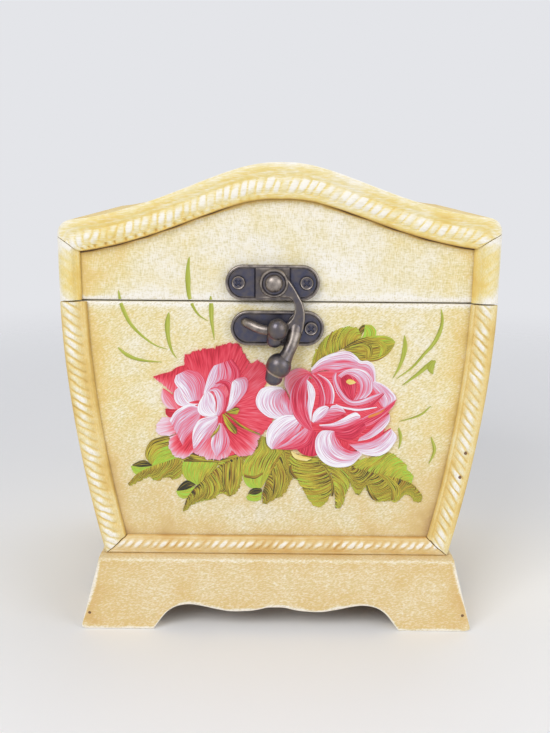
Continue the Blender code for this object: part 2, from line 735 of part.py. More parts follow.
def screw_mesh(head_radius, head_thickness, shank_radius, shank_length, cross):
    """A screw about Z, its head's top at zero, with a cross recess where asked."""
    profile = [
        (0, 0), (head_radius * HEAD_FLAT_SHARE, 0), (head_radius, -head_thickness / 2),
        (head_radius, -head_thickness), (shank_radius, -head_thickness),
        (shank_radius, -head_thickness - shank_length), (0, -head_thickness - shank_length),
    ]
    mesh = turned_mesh(profile, SMALL_ROUND_SIDES + 4)
    if not cross:
        return mesh
    holder = bpy.data.objects.new("screw", mesh)
    chest.objects.link(holder)
    for turn in (0, math.pi / 2):
        bpy.ops.mesh.primitive_cube_add(size=1)
        cube = bpy.context.object
        bar = cube.data
        bpy.data.objects.remove(cube, do_unlink=True)
        bar.transform(Matrix.Diagonal((CROSS_LENGTH, CROSS_WIDTH, 2 * CROSS_DEPTH, 1)))
        boolean(holder, bar, "DIFFERENCE", Matrix.Rotation(turn + math.pi / 4, 4, "Z"))
    cut = holder.data
    bpy.data.objects.remove(holder, do_unlink=True)
    return cut


def latch_screw(name, x, z, plate_part, panel):
    """A screw through a latch plate's pocket into its panel, both drilled for it."""
    seat = PANEL_Y - FIT_GAP - PLATE_THICKNESS + POCKET_DEPTH
    hole = SCREW_SHANK_RADIUS + HOLE_CLEARANCE
    drill(plate_part, x, z, hole, seat, PLATE_THICKNESS)
    head = seat - FIT_GAP - SCREW_HEAD_THICKNESS
    tip = head + SCREW_HEAD_THICKNESS + SCREW_SHANK_LENGTH
    drill(panel, x, z, hole, PANEL_Y, tip + FIT_GAP - PANEL_Y)
    mesh = screw_mesh(
        SCREW_HEAD_RADIUS, SCREW_HEAD_THICKNESS, SCREW_SHANK_RADIUS, SCREW_SHANK_LENGTH, True
    )
    add(name, mesh, BRONZE, (x, head, z), (math.pi / 2, 0, 0))
    smooth_round(mesh)


def arm_outline():
    return smooth_path(np.array(ARM_OUTLINE_SHARES) * (ARM_REACH, ARM_DROP), ARM_CURVE_STEPS, closed=True)


def build_hook():
    """The swinging arm with its eye, the rod below it and the knob, built about the pivot."""
    front = PANEL_Y - ARM_BACK - ARM_THICKNESS
    middle = front + ARM_THICKNESS / 2
    turn = Matrix.Rotation(math.pi / 2, 4, "X")
    mesh = outline_mesh(arm_outline(), ARM_THICKNESS)
    mesh.transform(turn)
    hook = add("latch_hook", mesh, BRONZE, (PIVOT_X, middle, PIVOT_Z))
    bpy.context.view_layer.update()
    place = hook.matrix_world.copy()
    eye = cylinder_mesh(EYE_RADIUS, ARM_THICKNESS + EYE_EXTRA, ROUND_SIDES + 8)
    boolean(hook, eye, "UNION", place @ Matrix.Translation((0, EYE_EXTRA / 4, 0)) @ turn)
    # The rod starts with its back level with the arm's back.
    start = ROD_RADIUS - ARM_THICKNESS / 2
    rod = smooth_path(np.array(ROD_SHARES) * (ARM_REACH, KNOB_DROP, KNOB_STAND - start), ROD_STEPS)
    rod = np.column_stack([rod[:, 0], -start - rod[:, 2], rod[:, 1]])
    boolean(hook, tube_mesh(rod, ROD_RADIUS), "UNION", place)
    knob = egg_mesh(KNOB_RADIUS, KNOB_RADIUS, (KNOB_OFFSET, -KNOB_STAND, -KNOB_DROP))
    boolean(hook, knob, "UNION", place)
    nub_centre = (KNOB_OFFSET - NUB_OFFSET, NUB_SETBACK - KNOB_STAND, -KNOB_DROP - NUB_DROP)
    boolean(hook, egg_mesh(NUB_RADIUS, NUB_LENGTH, nub_centre), "UNION", place)
    bore = cylinder_mesh(RIVET_SHANK_RADIUS + PIVOT_CLEARANCE, 3 * ARM_THICKNESS, ROUND_SIDES)
    boolean(hook, bore, "DIFFERENCE", place @ turn)
    return tidy_round(hook)


def build_rivet(plate_part, panel):
    """The pivot rivet: a domed head in front of the hook's eye and a shank into the lid."""
    under_head = PANEL_Y - ARM_BACK - ARM_THICKNESS - EYE_EXTRA - FIT_GAP
    length = PANEL_Y + RIVET_DEPTH - under_head
    turn = np.linspace(math.pi / 2, 0, DOME_STEPS + 1)[1:]
    dome = [(RIVET_HEAD_RADIUS * math.cos(a), RIVET_HEAD_HEIGHT * math.sin(a)) for a in turn]
    shank = [(RIVET_SHANK_RADIUS, 0), (RIVET_SHANK_RADIUS, -length), (0, -length)]
    profile = [(0, RIVET_HEAD_HEIGHT), *dome, *shank]
    mesh = turned_mesh(profile, ROUND_SIDES)
    add("latch_rivet", mesh, BRONZE, (PIVOT_X, under_head, PIVOT_Z), (math.pi / 2, 0, 0))
    smooth_round(mesh)
    hole = RIVET_SHANK_RADIUS + HOLE_CLEARANCE
    front = PANEL_Y - FIT_GAP - PLATE_THICKNESS
    drill(plate_part, PIVOT_X, PIVOT_Z, hole, front, PLATE_THICKNESS + CUT_OVERRUN, ROUND_SIDES)
    drill(panel, PIVOT_X, PIVOT_Z, hole, PANEL_Y, RIVET_DEPTH + FIT_GAP, ROUND_SIDES)


def build_horn():
    """The fixed horn that the hook swings behind: a bent finger with a capped end."""
    root = PANEL_Y - FIT_GAP - PLATE_THICKNESS + POCKET_DEPTH
    path = smooth_path(np.array(HORN_SHARES) * (HORN_ROOT_REACH, HORN_RISE, HORN_STAND), HORN_STEPS)
    # The lowest point of the finger's root keeps the fitting gap to the pocket's floor.
    path = np.column_stack([path[:, 0], -path[:, 2], path[:, 1]])
    deepest = path[0, 1] + HORN_RADIUS
    place = (LOWER_PLATE_X, root - FIT_GAP - deepest, LOWER_PLATE_Z)
    horn = add("latch_horn", tube_mesh(path, HORN_RADIUS), BRONZE, place)
    bpy.context.view_layer.update()
    where = horn.matrix_world.copy()
    cap = egg_mesh(HORN_CAP_RADIUS, HORN_CAP_HEIGHT, (0, -HORN_STAND, HORN_CAP_RISE))
    boolean(horn, cap, "UNION", where)
    nub = egg_mesh(HORN_NUB_RADIUS, HORN_NUB_LENGTH, (0, -HORN_STAND, -HORN_NUB_DROP))
    boolean(horn, nub, "UNION", where)
    return tidy_round(horn)


def build_latch(body_panel, lid_panel):
    inner_length, reach = PLATE_LENGTH - 2 * PLATE_RIM, PIVOT_LAND_HALF_LENGTH
    width = UPPER_PLATE_WIDTH - 2 * PLATE_RIM
    pockets = [half_pocket(inner_length, width, reach, side) for side in (-1, 1)]
    upper = plate("latch_upper_plate", UPPER_PLATE_X, UPPER_PLATE_Z, UPPER_PLATE_WIDTH, pockets)
    pocket = stadium(inner_length, LOWER_PLATE_WIDTH - 2 * PLATE_RIM)
    lower = plate("latch_lower_plate", LOWER_PLATE_X, LOWER_PLATE_Z, LOWER_PLATE_WIDTH, [pocket])
    for name, side in (("latch_upper_screw_left", -1), ("latch_upper_screw_right", 1)):
        latch_screw(name, UPPER_PLATE_X + side * PLATE_SCREW_REACH, UPPER_PLATE_Z, upper, lid_panel)
    latch_screw("latch_lower_screw", LOWER_PLATE_X + PLATE_SCREW_REACH, LOWER_PLATE_Z, lower, body_panel)
    build_rivet(upper, lid_panel)
    build_horn()
    build_hook()


# Hinges


def leaf_outline(up):
    """A hinge leaf's section: the barrel's ring half joined to a flat leaf, as (depth, height)."""
    inner = -BARREL_RADIUS
    plate_face = inner + LEAF_THICKNESS
    bend = math.acos(-plate_face / BARREL_RADIUS)
    turn = np.linspace(math.pi - bend, -math.pi, BARREL_SIDES + 1)
    ring = BARREL_RADIUS * np.column_stack([np.cos(turn), np.sin(turn)])
    points = np.vstack([(inner, LEAF_WIDTH), (plate_face, LEAF_WIDTH), ring])
    return points * (1, up)


def build_leaf(name, x, up, panel, middle_only):
    """One leaf: a flat plate and its share of the barrel, bored for the pin and drilled."""
    mesh = outline_mesh(leaf_outline(up), HINGE_LENGTH)
    # The section's own axes become the depth and the height; its thickness becomes the width.
    mesh.transform(Matrix(((0, 0, 1, 0), (1, 0, 0, 0), (0, 1, 0, 0), (0, 0, 0, 1))))
    leaf = add(name, mesh, BRONZE, (x, HINGE_Y, SEAM_HEIGHT))
    along = Matrix.Rotation(math.pi / 2, 4, "Y")
    place = Matrix.Translation((x, HINGE_Y, SEAM_HEIGHT))
    bore = cylinder_mesh(PIN_RADIUS + PIN_CLEARANCE, 2 * HINGE_LENGTH, ROUND_SIDES)
    boolean(leaf, bore, "DIFFERENCE", place @ along)
    knuckle = HINGE_LENGTH * MIDDLE_KNUCKLE_SHARE
    outer = (HINGE_LENGTH - knuckle) / 2
    window = 2 * (BARREL_RADIUS + KNUCKLE_GAP)
    if middle_only:
        width = outer + KNUCKLE_GAP / 2 + CUT_OVERRUN
        shift = (knuckle + KNUCKLE_GAP) / 2 - KNUCKLE_GAP + width / 2
        places = [(-shift, width), (shift, width)]
    else:
        places = [(0, knuckle + KNUCKLE_GAP)]
    for offset, width in places:
        bpy.ops.mesh.primitive_cube_add(size=1)
        cube = bpy.context.object
        notch = cube.data
        bpy.data.objects.remove(cube, do_unlink=True)
        notch.transform(Matrix.Diagonal((width, window, window, 1)))
        boolean(leaf, notch, "DIFFERENCE", place @ Matrix.Translation((offset, 0, 0)))
    height = SEAM_HEIGHT + up * (LEAF_WIDTH + window / 2) / 2
    for k, side in enumerate((-1, 1)):
        hinge_screw(f"{name}_screw_{k + 1}", x + side * HINGE_SCREW_SPREAD / 2, height, leaf, panel)
    return tidy_round(leaf)


def hinge_screw(name, x, z, leaf, panel):
    face = BACK_Y + FIT_GAP + LEAF_THICKNESS
    hole = HINGE_SHANK_RADIUS + HOLE_CLEARANCE
    drill(leaf, x, z, hole, face, -2 * LEAF_THICKNESS)
    head = face + FIT_GAP + HINGE_HEAD_THICKNESS
    tip = head - HINGE_HEAD_THICKNESS - HINGE_SHANK_LENGTH
    drill(panel, x, z, hole, BACK_Y, tip - FIT_GAP - BACK_Y)
    mesh = screw_mesh(
        HINGE_HEAD_RADIUS, HINGE_HEAD_THICKNESS, HINGE_SHANK_RADIUS, HINGE_SHANK_LENGTH, False
    )
    add(name, mesh, BRONZE, (x, head, z), (-math.pi / 2, 0, 0))
    smooth_round(mesh)


def build_hinges(body_panel, lid_panel):
    for side_name, side in (("left", -1), ("right", 1)):
        x = side * HINGE_X
        build_leaf(f"hinge_{side_name}_lid_leaf", x, 1, lid_panel, True)
        build_leaf(f"hinge_{side_name}_body_leaf", x, -1, body_panel, False)
        pin = cylinder_mesh(PIN_RADIUS, HINGE_LENGTH, ROUND_SIDES)
        add(f"hinge_{side_name}_pin", pin, STEEL, (x, HINGE_Y, SEAM_HEIGHT), (0, math.pi / 2, 0))
        smooth_round(pin)


def parent_to_axes():
    """Puts the lid's pieces under an empty on the hinge line, and the hook under one on its pivot."""
    lid_axis = bpy.data.objects.new("lid_axis", None)
    lid_axis.location = (0, HINGE_Y, SEAM_HEIGHT)
    hook_axis = bpy.data.objects.new("hook_axis", None)
    hook_axis.location = (PIVOT_X, PANEL_Y - ARM_BACK, PIVOT_Z)
    for axis in (lid_axis, hook_axis):
        chest.objects.link(axis)
    bpy.context.view_layer.update()
    for part in chest.objects:
        if part.type != "MESH":
            continue
        if part.name.startswith(("lid_", "latch_upper", "latch_rivet")) or "_lid_leaf" in part.name:
            adopt(part, lid_axis)
    adopt(bpy.data.objects["latch_hook"], hook_axis)
    adopt(hook_axis, lid_axis)


def adopt(child, parent):
    """Parents without moving: the child keeps its place in the world."""
    child.parent = parent
    child.matrix_parent_inverse = parent.matrix_world.inverted()


def main():
    body_front, body_back, lid_front, lid_back = build_carcass()
    build_mouldings()
    build_plinth()
    build_latch(body_front, lid_front)
    build_hinges(body_back, lid_back)
    parent_to_axes()


clear_scene()
chest = new_collection("keepsake_chest")
cutters = new_collection("cutters")
cutters.hide_render = True
main()
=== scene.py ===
"""Looks of a small painted keepsake chest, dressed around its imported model.

The chest is thin board painted cream-yellow, rubbed back to white on its edges and carving and
glazed with ochre in its corners. A spray of roses is painted on the front in loaded brush
strokes, and a swing-arm hook of antique bronze closes the lid. Metres, +Z up, front towards -Y.
"""

from __future__ import annotations

import json
import logging
import math
from dataclasses import dataclass, field, replace
from enum import Enum
from functools import partial

import bmesh
import bpy
import numpy as np
from mathutils import Matrix, Vector

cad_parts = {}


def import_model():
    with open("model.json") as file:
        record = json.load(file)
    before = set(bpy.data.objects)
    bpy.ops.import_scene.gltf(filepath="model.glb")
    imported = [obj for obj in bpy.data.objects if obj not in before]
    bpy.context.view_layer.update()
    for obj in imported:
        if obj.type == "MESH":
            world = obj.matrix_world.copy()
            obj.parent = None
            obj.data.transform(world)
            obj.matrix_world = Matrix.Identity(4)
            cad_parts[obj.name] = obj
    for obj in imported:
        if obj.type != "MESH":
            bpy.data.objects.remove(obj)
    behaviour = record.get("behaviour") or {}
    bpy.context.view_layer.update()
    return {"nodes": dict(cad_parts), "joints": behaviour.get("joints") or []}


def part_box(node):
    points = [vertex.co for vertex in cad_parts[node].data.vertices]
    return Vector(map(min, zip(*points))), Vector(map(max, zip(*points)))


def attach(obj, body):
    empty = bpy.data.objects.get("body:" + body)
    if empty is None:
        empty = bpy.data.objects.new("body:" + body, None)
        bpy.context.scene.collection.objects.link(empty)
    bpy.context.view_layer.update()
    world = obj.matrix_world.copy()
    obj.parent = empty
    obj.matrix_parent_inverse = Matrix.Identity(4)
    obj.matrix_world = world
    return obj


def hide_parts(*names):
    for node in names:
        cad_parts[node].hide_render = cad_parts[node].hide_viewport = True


LOG = logging.getLogger("keepsake_chest")
MM = 0.001
SEED = 7
# Hair-wide step that keeps two painted faces apart.
HAIR = 0.02 * MM
# What stands in for a length of zero where something is divided by it.
TINY = 1e-9
# How fast wood changes along x, y and z, per metre: slowly along the grain, fast across it.
GRAIN_ACROSS = (28.0, 1100.0, 1100.0)
GRAIN_BACKWARDS = (1100.0, 28.0, 1100.0)
# Shares of a rounding's radius at which a grid has its rows.
ROUNDING_ROWS = np.array([0.0, 0.04, 0.15, 0.35, 0.65, 1.0])
# Points of a curve worked out between two given ones, and sides of turned and round work.
CURVE_STEPS = 24
TURNED_SIDES = 56
ROD_SIDES = 40
# Rates of the three waves in an uneven line, and what brings their sum to between -1 and 1.
WAVE_RATES = (1, 1.7, 2.9)
WAVE_SUM = 1.93
# A board's rim keeps this share of its face's tone, less the glaze that lies on it.
RIM_SHARE = 0.3
RIM_GLAZE = 0.4


# Shapes: surfaces worked out as whole arrays


def unit(vectors: np.ndarray) -> np.ndarray:
    """The same directions, each of length one."""
    return vectors / np.maximum(np.linalg.norm(vectors, axis=-1, keepdims=True), TINY)


def clipped(values: np.ndarray) -> np.ndarray:
    """The values kept between 0 and 1."""
    return np.clip(values, 0, 1)


def heading(path: np.ndarray) -> np.ndarray:
    """The direction in which a path runs at each of its points."""
    return unit(np.gradient(path, axis=0))


def right_of(path: np.ndarray) -> np.ndarray:
    """The directions square to a flat path at each of its points, on its right."""
    along = heading(path)
    return np.column_stack([along[:, 1], -along[:, 0]])


def upright(flat: np.ndarray, depth: np.ndarray | float) -> np.ndarray:
    """Points of (x, z) stood up at a depth, one for all or each its own."""
    return np.stack(np.broadcast_arrays(flat[..., 0], depth, flat[..., 1]), axis=-1)


def line(first: tuple, last: tuple, count: int) -> np.ndarray:
    """Points at even steps on the straight line from one point to another."""
    return np.linspace(first, last, count)


def smooth_shares(table: tuple, places: np.ndarray) -> np.ndarray:
    """Values on a smooth curve through a table's rows: cubic Hermite spans between the rows.

    Args:
        table: rows of (place, value), places rising.
        places: where the curve is read.

    Returns:
        The curve's value at each place.
    """
    xs, ys = np.array(table).T
    slopes = np.gradient(ys, xs)
    row = np.clip(np.searchsorted(xs, places, side="right") - 1, 0, len(xs) - 2)
    width = xs[row + 1] - xs[row]
    t = clipped((places - xs[row]) / width)
    return (
        (2 * t**3 - 3 * t**2 + 1) * ys[row] + (t**3 - 2 * t**2 + t) * width * slopes[row]
        + (3 * t**2 - 2 * t**3) * ys[row + 1] + (t**3 - t**2) * width * slopes[row + 1]
    )


def smooth_path(points: np.ndarray, count: int) -> np.ndarray:
    """A Catmull-Rom curve through the points, read at places equally far apart along it.

    Args:
        points: the points that the path goes through, one a row.
        count: how many places to return.

    Returns:
        The path's points, one a row.
    """
    points = np.asarray(points, dtype=float)
    padded = np.vstack([2 * points[0] - points[1], points, 2 * points[-1] - points[-2]])
    spans = len(points) - 1
    t = (np.arange(spans * CURVE_STEPS) % CURVE_STEPS / CURVE_STEPS)[:, None]
    a, b, c, d = (padded[k:k + spans].repeat(CURVE_STEPS, axis=0) for k in range(4))
    fine = 2 * b + (c - a) * t + (2 * a - 5 * b + 4 * c - d) * t**2 + (3 * b - a - 3 * c + d) * t**3
    return respaced(np.vstack([fine / 2, points[-1]]), count)


def respaced(path: np.ndarray, count: int) -> np.ndarray:
    """The same path read at a number of places equally far apart along it."""
    return at_lengths(path, np.linspace(0, lengths_along(path)[-1], count))


def lengths_along(path: np.ndarray) -> np.ndarray:
    """The distance along a path of points from its start to each point."""
    steps = np.linalg.norm(np.diff(path, axis=0), axis=-1)
    return np.concatenate([[0.0], np.cumsum(steps)])


def at_lengths(path: np.ndarray, lengths: np.ndarray) -> np.ndarray:
    """The points of a path at given distances along it."""
    along = lengths_along(path)
    return np.column_stack([np.interp(lengths, along, axis) for axis in path.T])


def edge_places(length: float, step: float, radius: float) -> np.ndarray:
    """Shares of a length, in even steps with closer ones where the ends are rounded.

    Args:
        length: the length that is shared out.
        step: the widest step between two places.
        radius: the radius of the rounding at both ends.

    Returns:
        Shares from 0 to 1.
    """
    ends = radius * ROUNDING_ROWS
    inner = np.linspace(radius, length - radius, max(2, int(length / step) + 1))
    return np.concatenate([ends, inner[1:-1], length - ends[::-1]]) / length


def ruled(first: np.ndarray, second: np.ndarray, shares: np.ndarray) -> np.ndarray:
    """The grid of points on straight lines between two rails, at shares of the way across."""
    return first[:, None, :] + (second - first)[:, None, :] * shares[None, :, None]


def border_distance(grid: np.ndarray) -> np.ndarray:
    """How far each point of a grid is from the grid's nearest border, along its lines."""
    down = np.linalg.norm(np.diff(grid, axis=0), axis=-1)
    down = np.vstack([np.zeros(grid.shape[1]), np.cumsum(down, axis=0)])
    across = np.linalg.norm(np.diff(grid, axis=1), axis=-1)
    across = np.column_stack([np.zeros(grid.shape[0]), np.cumsum(across, axis=1)])
    return np.minimum.reduce([down, down[-1] - down, across, across[:, -1:] - across])


def rounded(outer: np.ndarray, inner: np.ndarray, radius: float) -> np.ndarray:
    """The outer face with rounded borders: near one it sinks to the inner face as a quarter circle.

    Args:
        outer: the outer face's grid.
        inner: the inner face's grid, of the same shape.
        radius: the radius of the rounding.

    Returns:
        The outer face's new grid.
    """
    short = np.clip(radius - border_distance(outer), 0, radius)
    sink = radius - np.sqrt(radius**2 - short**2)
    return outer + unit(inner - outer) * sink[..., None]


def waves(places: np.ndarray, pitch: float, seed: int) -> np.ndarray:
    """A smooth uneven line between -1 and 1: three sine waves of unlike pitch, added.

    Args:
        places: where the line is read.
        pitch: the length of its longest wave.
        seed: which line it is.

    Returns:
        The line's value at each place.
    """
    shifts = np.random.default_rng(seed).uniform(0, 2 * math.pi, 3)
    turns = 2 * math.pi * np.asarray(places) / pitch
    parts = [np.sin(turns * rate + shift) / rate for rate, shift in zip(WAVE_RATES, shifts)]
    return sum(parts) / WAVE_SUM


def bump_of(places: np.ndarray, middle: float, reach: float) -> np.ndarray:
    """A bell curve: one at the middle and e^-1 at the reach."""
    return np.exp(-(((places - middle) / reach) ** 2))


def glaze(distance: np.ndarray, reach: float | np.ndarray) -> np.ndarray:
    """How much glaze lies at a distance from an edge: all at it, little past the reach."""
    return np.exp(-np.clip(distance, 0, None) / reach)


def numbered(rows: int, columns: int) -> np.ndarray:
    """The numbers of a grid's points, row by row."""
    return np.arange(rows * columns).reshape(rows, columns)


def quads(index: np.ndarray) -> np.ndarray:
    """The four-cornered faces between the points of a grid, given by their numbers."""
    return np.stack(
        [index[:-1, :-1], index[1:, :-1], index[1:, 1:], index[:-1, 1:]], axis=-1).reshape(-1, 4)


def border(index: np.ndarray) -> np.ndarray:
    """The numbers of a grid's border points, once round."""
    return np.concatenate([index[0, :-1], index[:-1, -1], index[-1, :0:-1], index[:0:-1, 0]])


@dataclass
class Shape:
    """A mesh in the making: points, faces, and what is known of each.

    tone runs from -1, a hollow that holds glaze, to 1, a high spot rubbed white or bright.
    bare marks the faces that carry no paint. bristle is each point's place on its brush stroke.
    """

    points: np.ndarray
    faces: list
    tone: np.ndarray
    bare: np.ndarray
    bristle: np.ndarray | None = None

    def __add__(self, other: "Shape") -> "Shape":
        """Both shapes as one mesh of separate shells."""
        shift = len(self.points)
        faces = self.faces + [[k + shift for k in face] for face in other.faces]
        bristle = None if self.bristle is None else np.concatenate([self.bristle, other.bristle])
        return Shape(
            np.vstack([self.points, other.points]), faces, np.concatenate([self.tone, other.tone]),
            np.concatenate([self.bare, other.bare]), bristle)


def slab(outer: np.ndarray, inner: np.ndarray, tone: np.ndarray, bare_inside: bool = True) -> Shape:
    """A closed board between two grids of the same shape, walled all round.

    Args:
        outer: the outer face's grid.
        inner: the inner face's grid.
        tone: the outer face's tone at each point.
        bare_inside: whether the inner face carries no paint.

    Returns:
        The board.
    """
    index = numbered(*outer.shape[:2])
    front = quads(index)
    back = quads(index + index.size)[:, ::-1]
    ring = border(index)
    after = np.roll(ring, -1)
    walls = np.column_stack([ring, after, after + index.size, ring + index.size])
    faces = np.vstack([front, back, walls])
    bare = np.zeros(len(faces))
    bare[len(front):len(front) + len(back)] = float(bare_inside)
    edge_tone = np.zeros(tone.size)
    edge_tone[ring] = RIM_SHARE * tone.ravel()[ring] - RIM_GLAZE
    points = np.vstack([outer.reshape(-1, 3), inner.reshape(-1, 3)])
    return Shape(points, faces.tolist(), np.concatenate([tone.ravel(), edge_tone]), bare)


def tube(rings: np.ndarray, tone: np.ndarray, end_tones: tuple = ()) -> Shape:
    """A closed tube through rings of points, each end closed on its middle point.

    Args:
        rings: one ring a row, each of the same number of points.
        tone: the tone of each ring, or of each point of each ring.
        end_tones: the tones of the two middle points, where they aren't their rings'.

    Returns:
        The tube.
    """
    rows, columns = rings.shape[:2]
    index = numbered(rows, columns)
    wrapped = np.column_stack([index, index[:, 0]])
    first, last = index.size, index.size + 1
    start = [[first, a, b] for a, b in zip(wrapped[0, :-1], wrapped[0, 1:])]
    finish = [[last, b, a] for a, b in zip(wrapped[-1, :-1], wrapped[-1, 1:])]
    faces = quads(wrapped).tolist() + start + finish
    tones = tone.ravel() if tone.ndim == 2 else np.repeat(tone, columns)
    ends = end_tones or (tone[0], tone[-1])
    points = np.vstack([rings.reshape(-1, 3), rings[[0, -1]].mean(axis=1)])
    return Shape(points, faces, np.concatenate([tones, ends]), np.zeros(len(faces)))


def turned(profile: np.ndarray, tone: np.ndarray, centre: np.ndarray, axis: np.ndarray) -> Shape:
    """A turned solid: each row of the profile is a circle about the axis.

    Args:
        profile: rows of (radius, distance along the axis).
        tone: each row's tone.
        centre: the point where the distance along the axis is zero.
        axis: the axis's direction.

    Returns:
        The solid.
    """
    axis = unit(np.asarray(axis, dtype=float))
    across = unit(np.cross(axis, (0.0, 0.0, 1.0) if abs(axis[2]) < 0.9 else (1.0, 0.0, 0.0)))
    turn = np.linspace(0, 2 * math.pi, TURNED_SIDES, endpoint=False)
    circle = np.outer(np.cos(turn), across) + np.outer(np.sin(turn), np.cross(axis, across))
    rings = centre + profile[:, 1, None, None] * axis + profile[:, 0, None, None] * circle
    return tube(rings, tone)


def swept(path: np.ndarray, radii: np.ndarray, tone: float | np.ndarray) -> Shape:
    """A round rod along a path: circles square to the path, of a radius that changes along it.

    Args:
        path: the rod's middle line.
        radii: the rod's radius at each point.
        tone: the tone of the whole rod, or of each point of its path.

    Returns:
        The rod.
    """
    along = heading(path)
    across = unit(np.cross(along, (0.0, 1.0, 0.0)))
    third = np.cross(along, across)
    turn = np.linspace(0, 2 * math.pi, ROD_SIDES, endpoint=False)[None, :, None]
    circles = np.cos(turn) * across[:, None, :] + np.sin(turn) * third[:, None, :]
    rings = path[:, None, :] + radii[:, None, None] * circles
    return tube(rings, np.zeros(len(path)) + tone)


# Finishes


def linear(hex_colour: str) -> tuple:
    """An sRGB hex colour as the linear colour that a shader takes."""
    channels = [int(hex_colour[k:k + 2], 16) / 255 for k in (1, 3, 5)]
    curve = [c / 12.92 if c <= 0.04045 else ((c + 0.055) / 1.055) ** 2.4 for c in channels]
    return (*curve, 1.0)


def add_node(
    tree: bpy.types.NodeTree, kind: str, inputs: dict | None = None, out: int | str = 0, **settings,
) -> bpy.types.NodeSocket | None:
    """Adds a node with its settings and links.

    Args:
        tree: the material's node tree.
        kind: the node's type name, less the words ShaderNode in front.
        inputs: for each input by name or number, a value or the socket that feeds it.
        out: the output that is asked for, by name or number.
        settings: the node's own properties; stops are a colour ramp's (place, hex colour) rows.

    Returns:
        That output's socket, or None where the node has no outputs.
    """
    made = tree.nodes.new(f"ShaderNode{kind}")
    stops = settings.pop("stops", ())
    while stops and len(made.color_ramp.elements) < len(stops):
        made.color_ramp.elements.new(1.0)
    for place, (position, colour) in enumerate(stops):
        made.color_ramp.elements[place].position = position
        made.color_ramp.elements[place].color = linear(colour)
    for name, value in settings.items():
        setattr(made, name, value)
    for name, value in (inputs or {}).items():
        if isinstance(value, bpy.types.NodeSocket):
            tree.links.new(value, made.inputs[name])
        else:
            made.inputs[name].default_value = value
    return made.outputs[out] if made.outputs else None


@dataclass(frozen=True)
class Finish:
    """What every finish has: a name, and a way to make its material once."""

    name: str

    def material(self) -> bpy.types.Material:
        """The finish's material, made the first time it is asked for."""
        found = bpy.data.materials.get(self.name)
        if found:
            return found
        made = bpy.data.materials.new(self.name)
        made.use_nodes = True
        made.node_tree.nodes.clear()
        add_node(made.node_tree, "OutputMaterial", {0: self.build(made.node_tree)})
        return made

    def build(self, tree: bpy.types.NodeTree) -> bpy.types.NodeSocket:
        """Builds the finish's nodes, up to its shader's output."""
        raise NotImplementedError


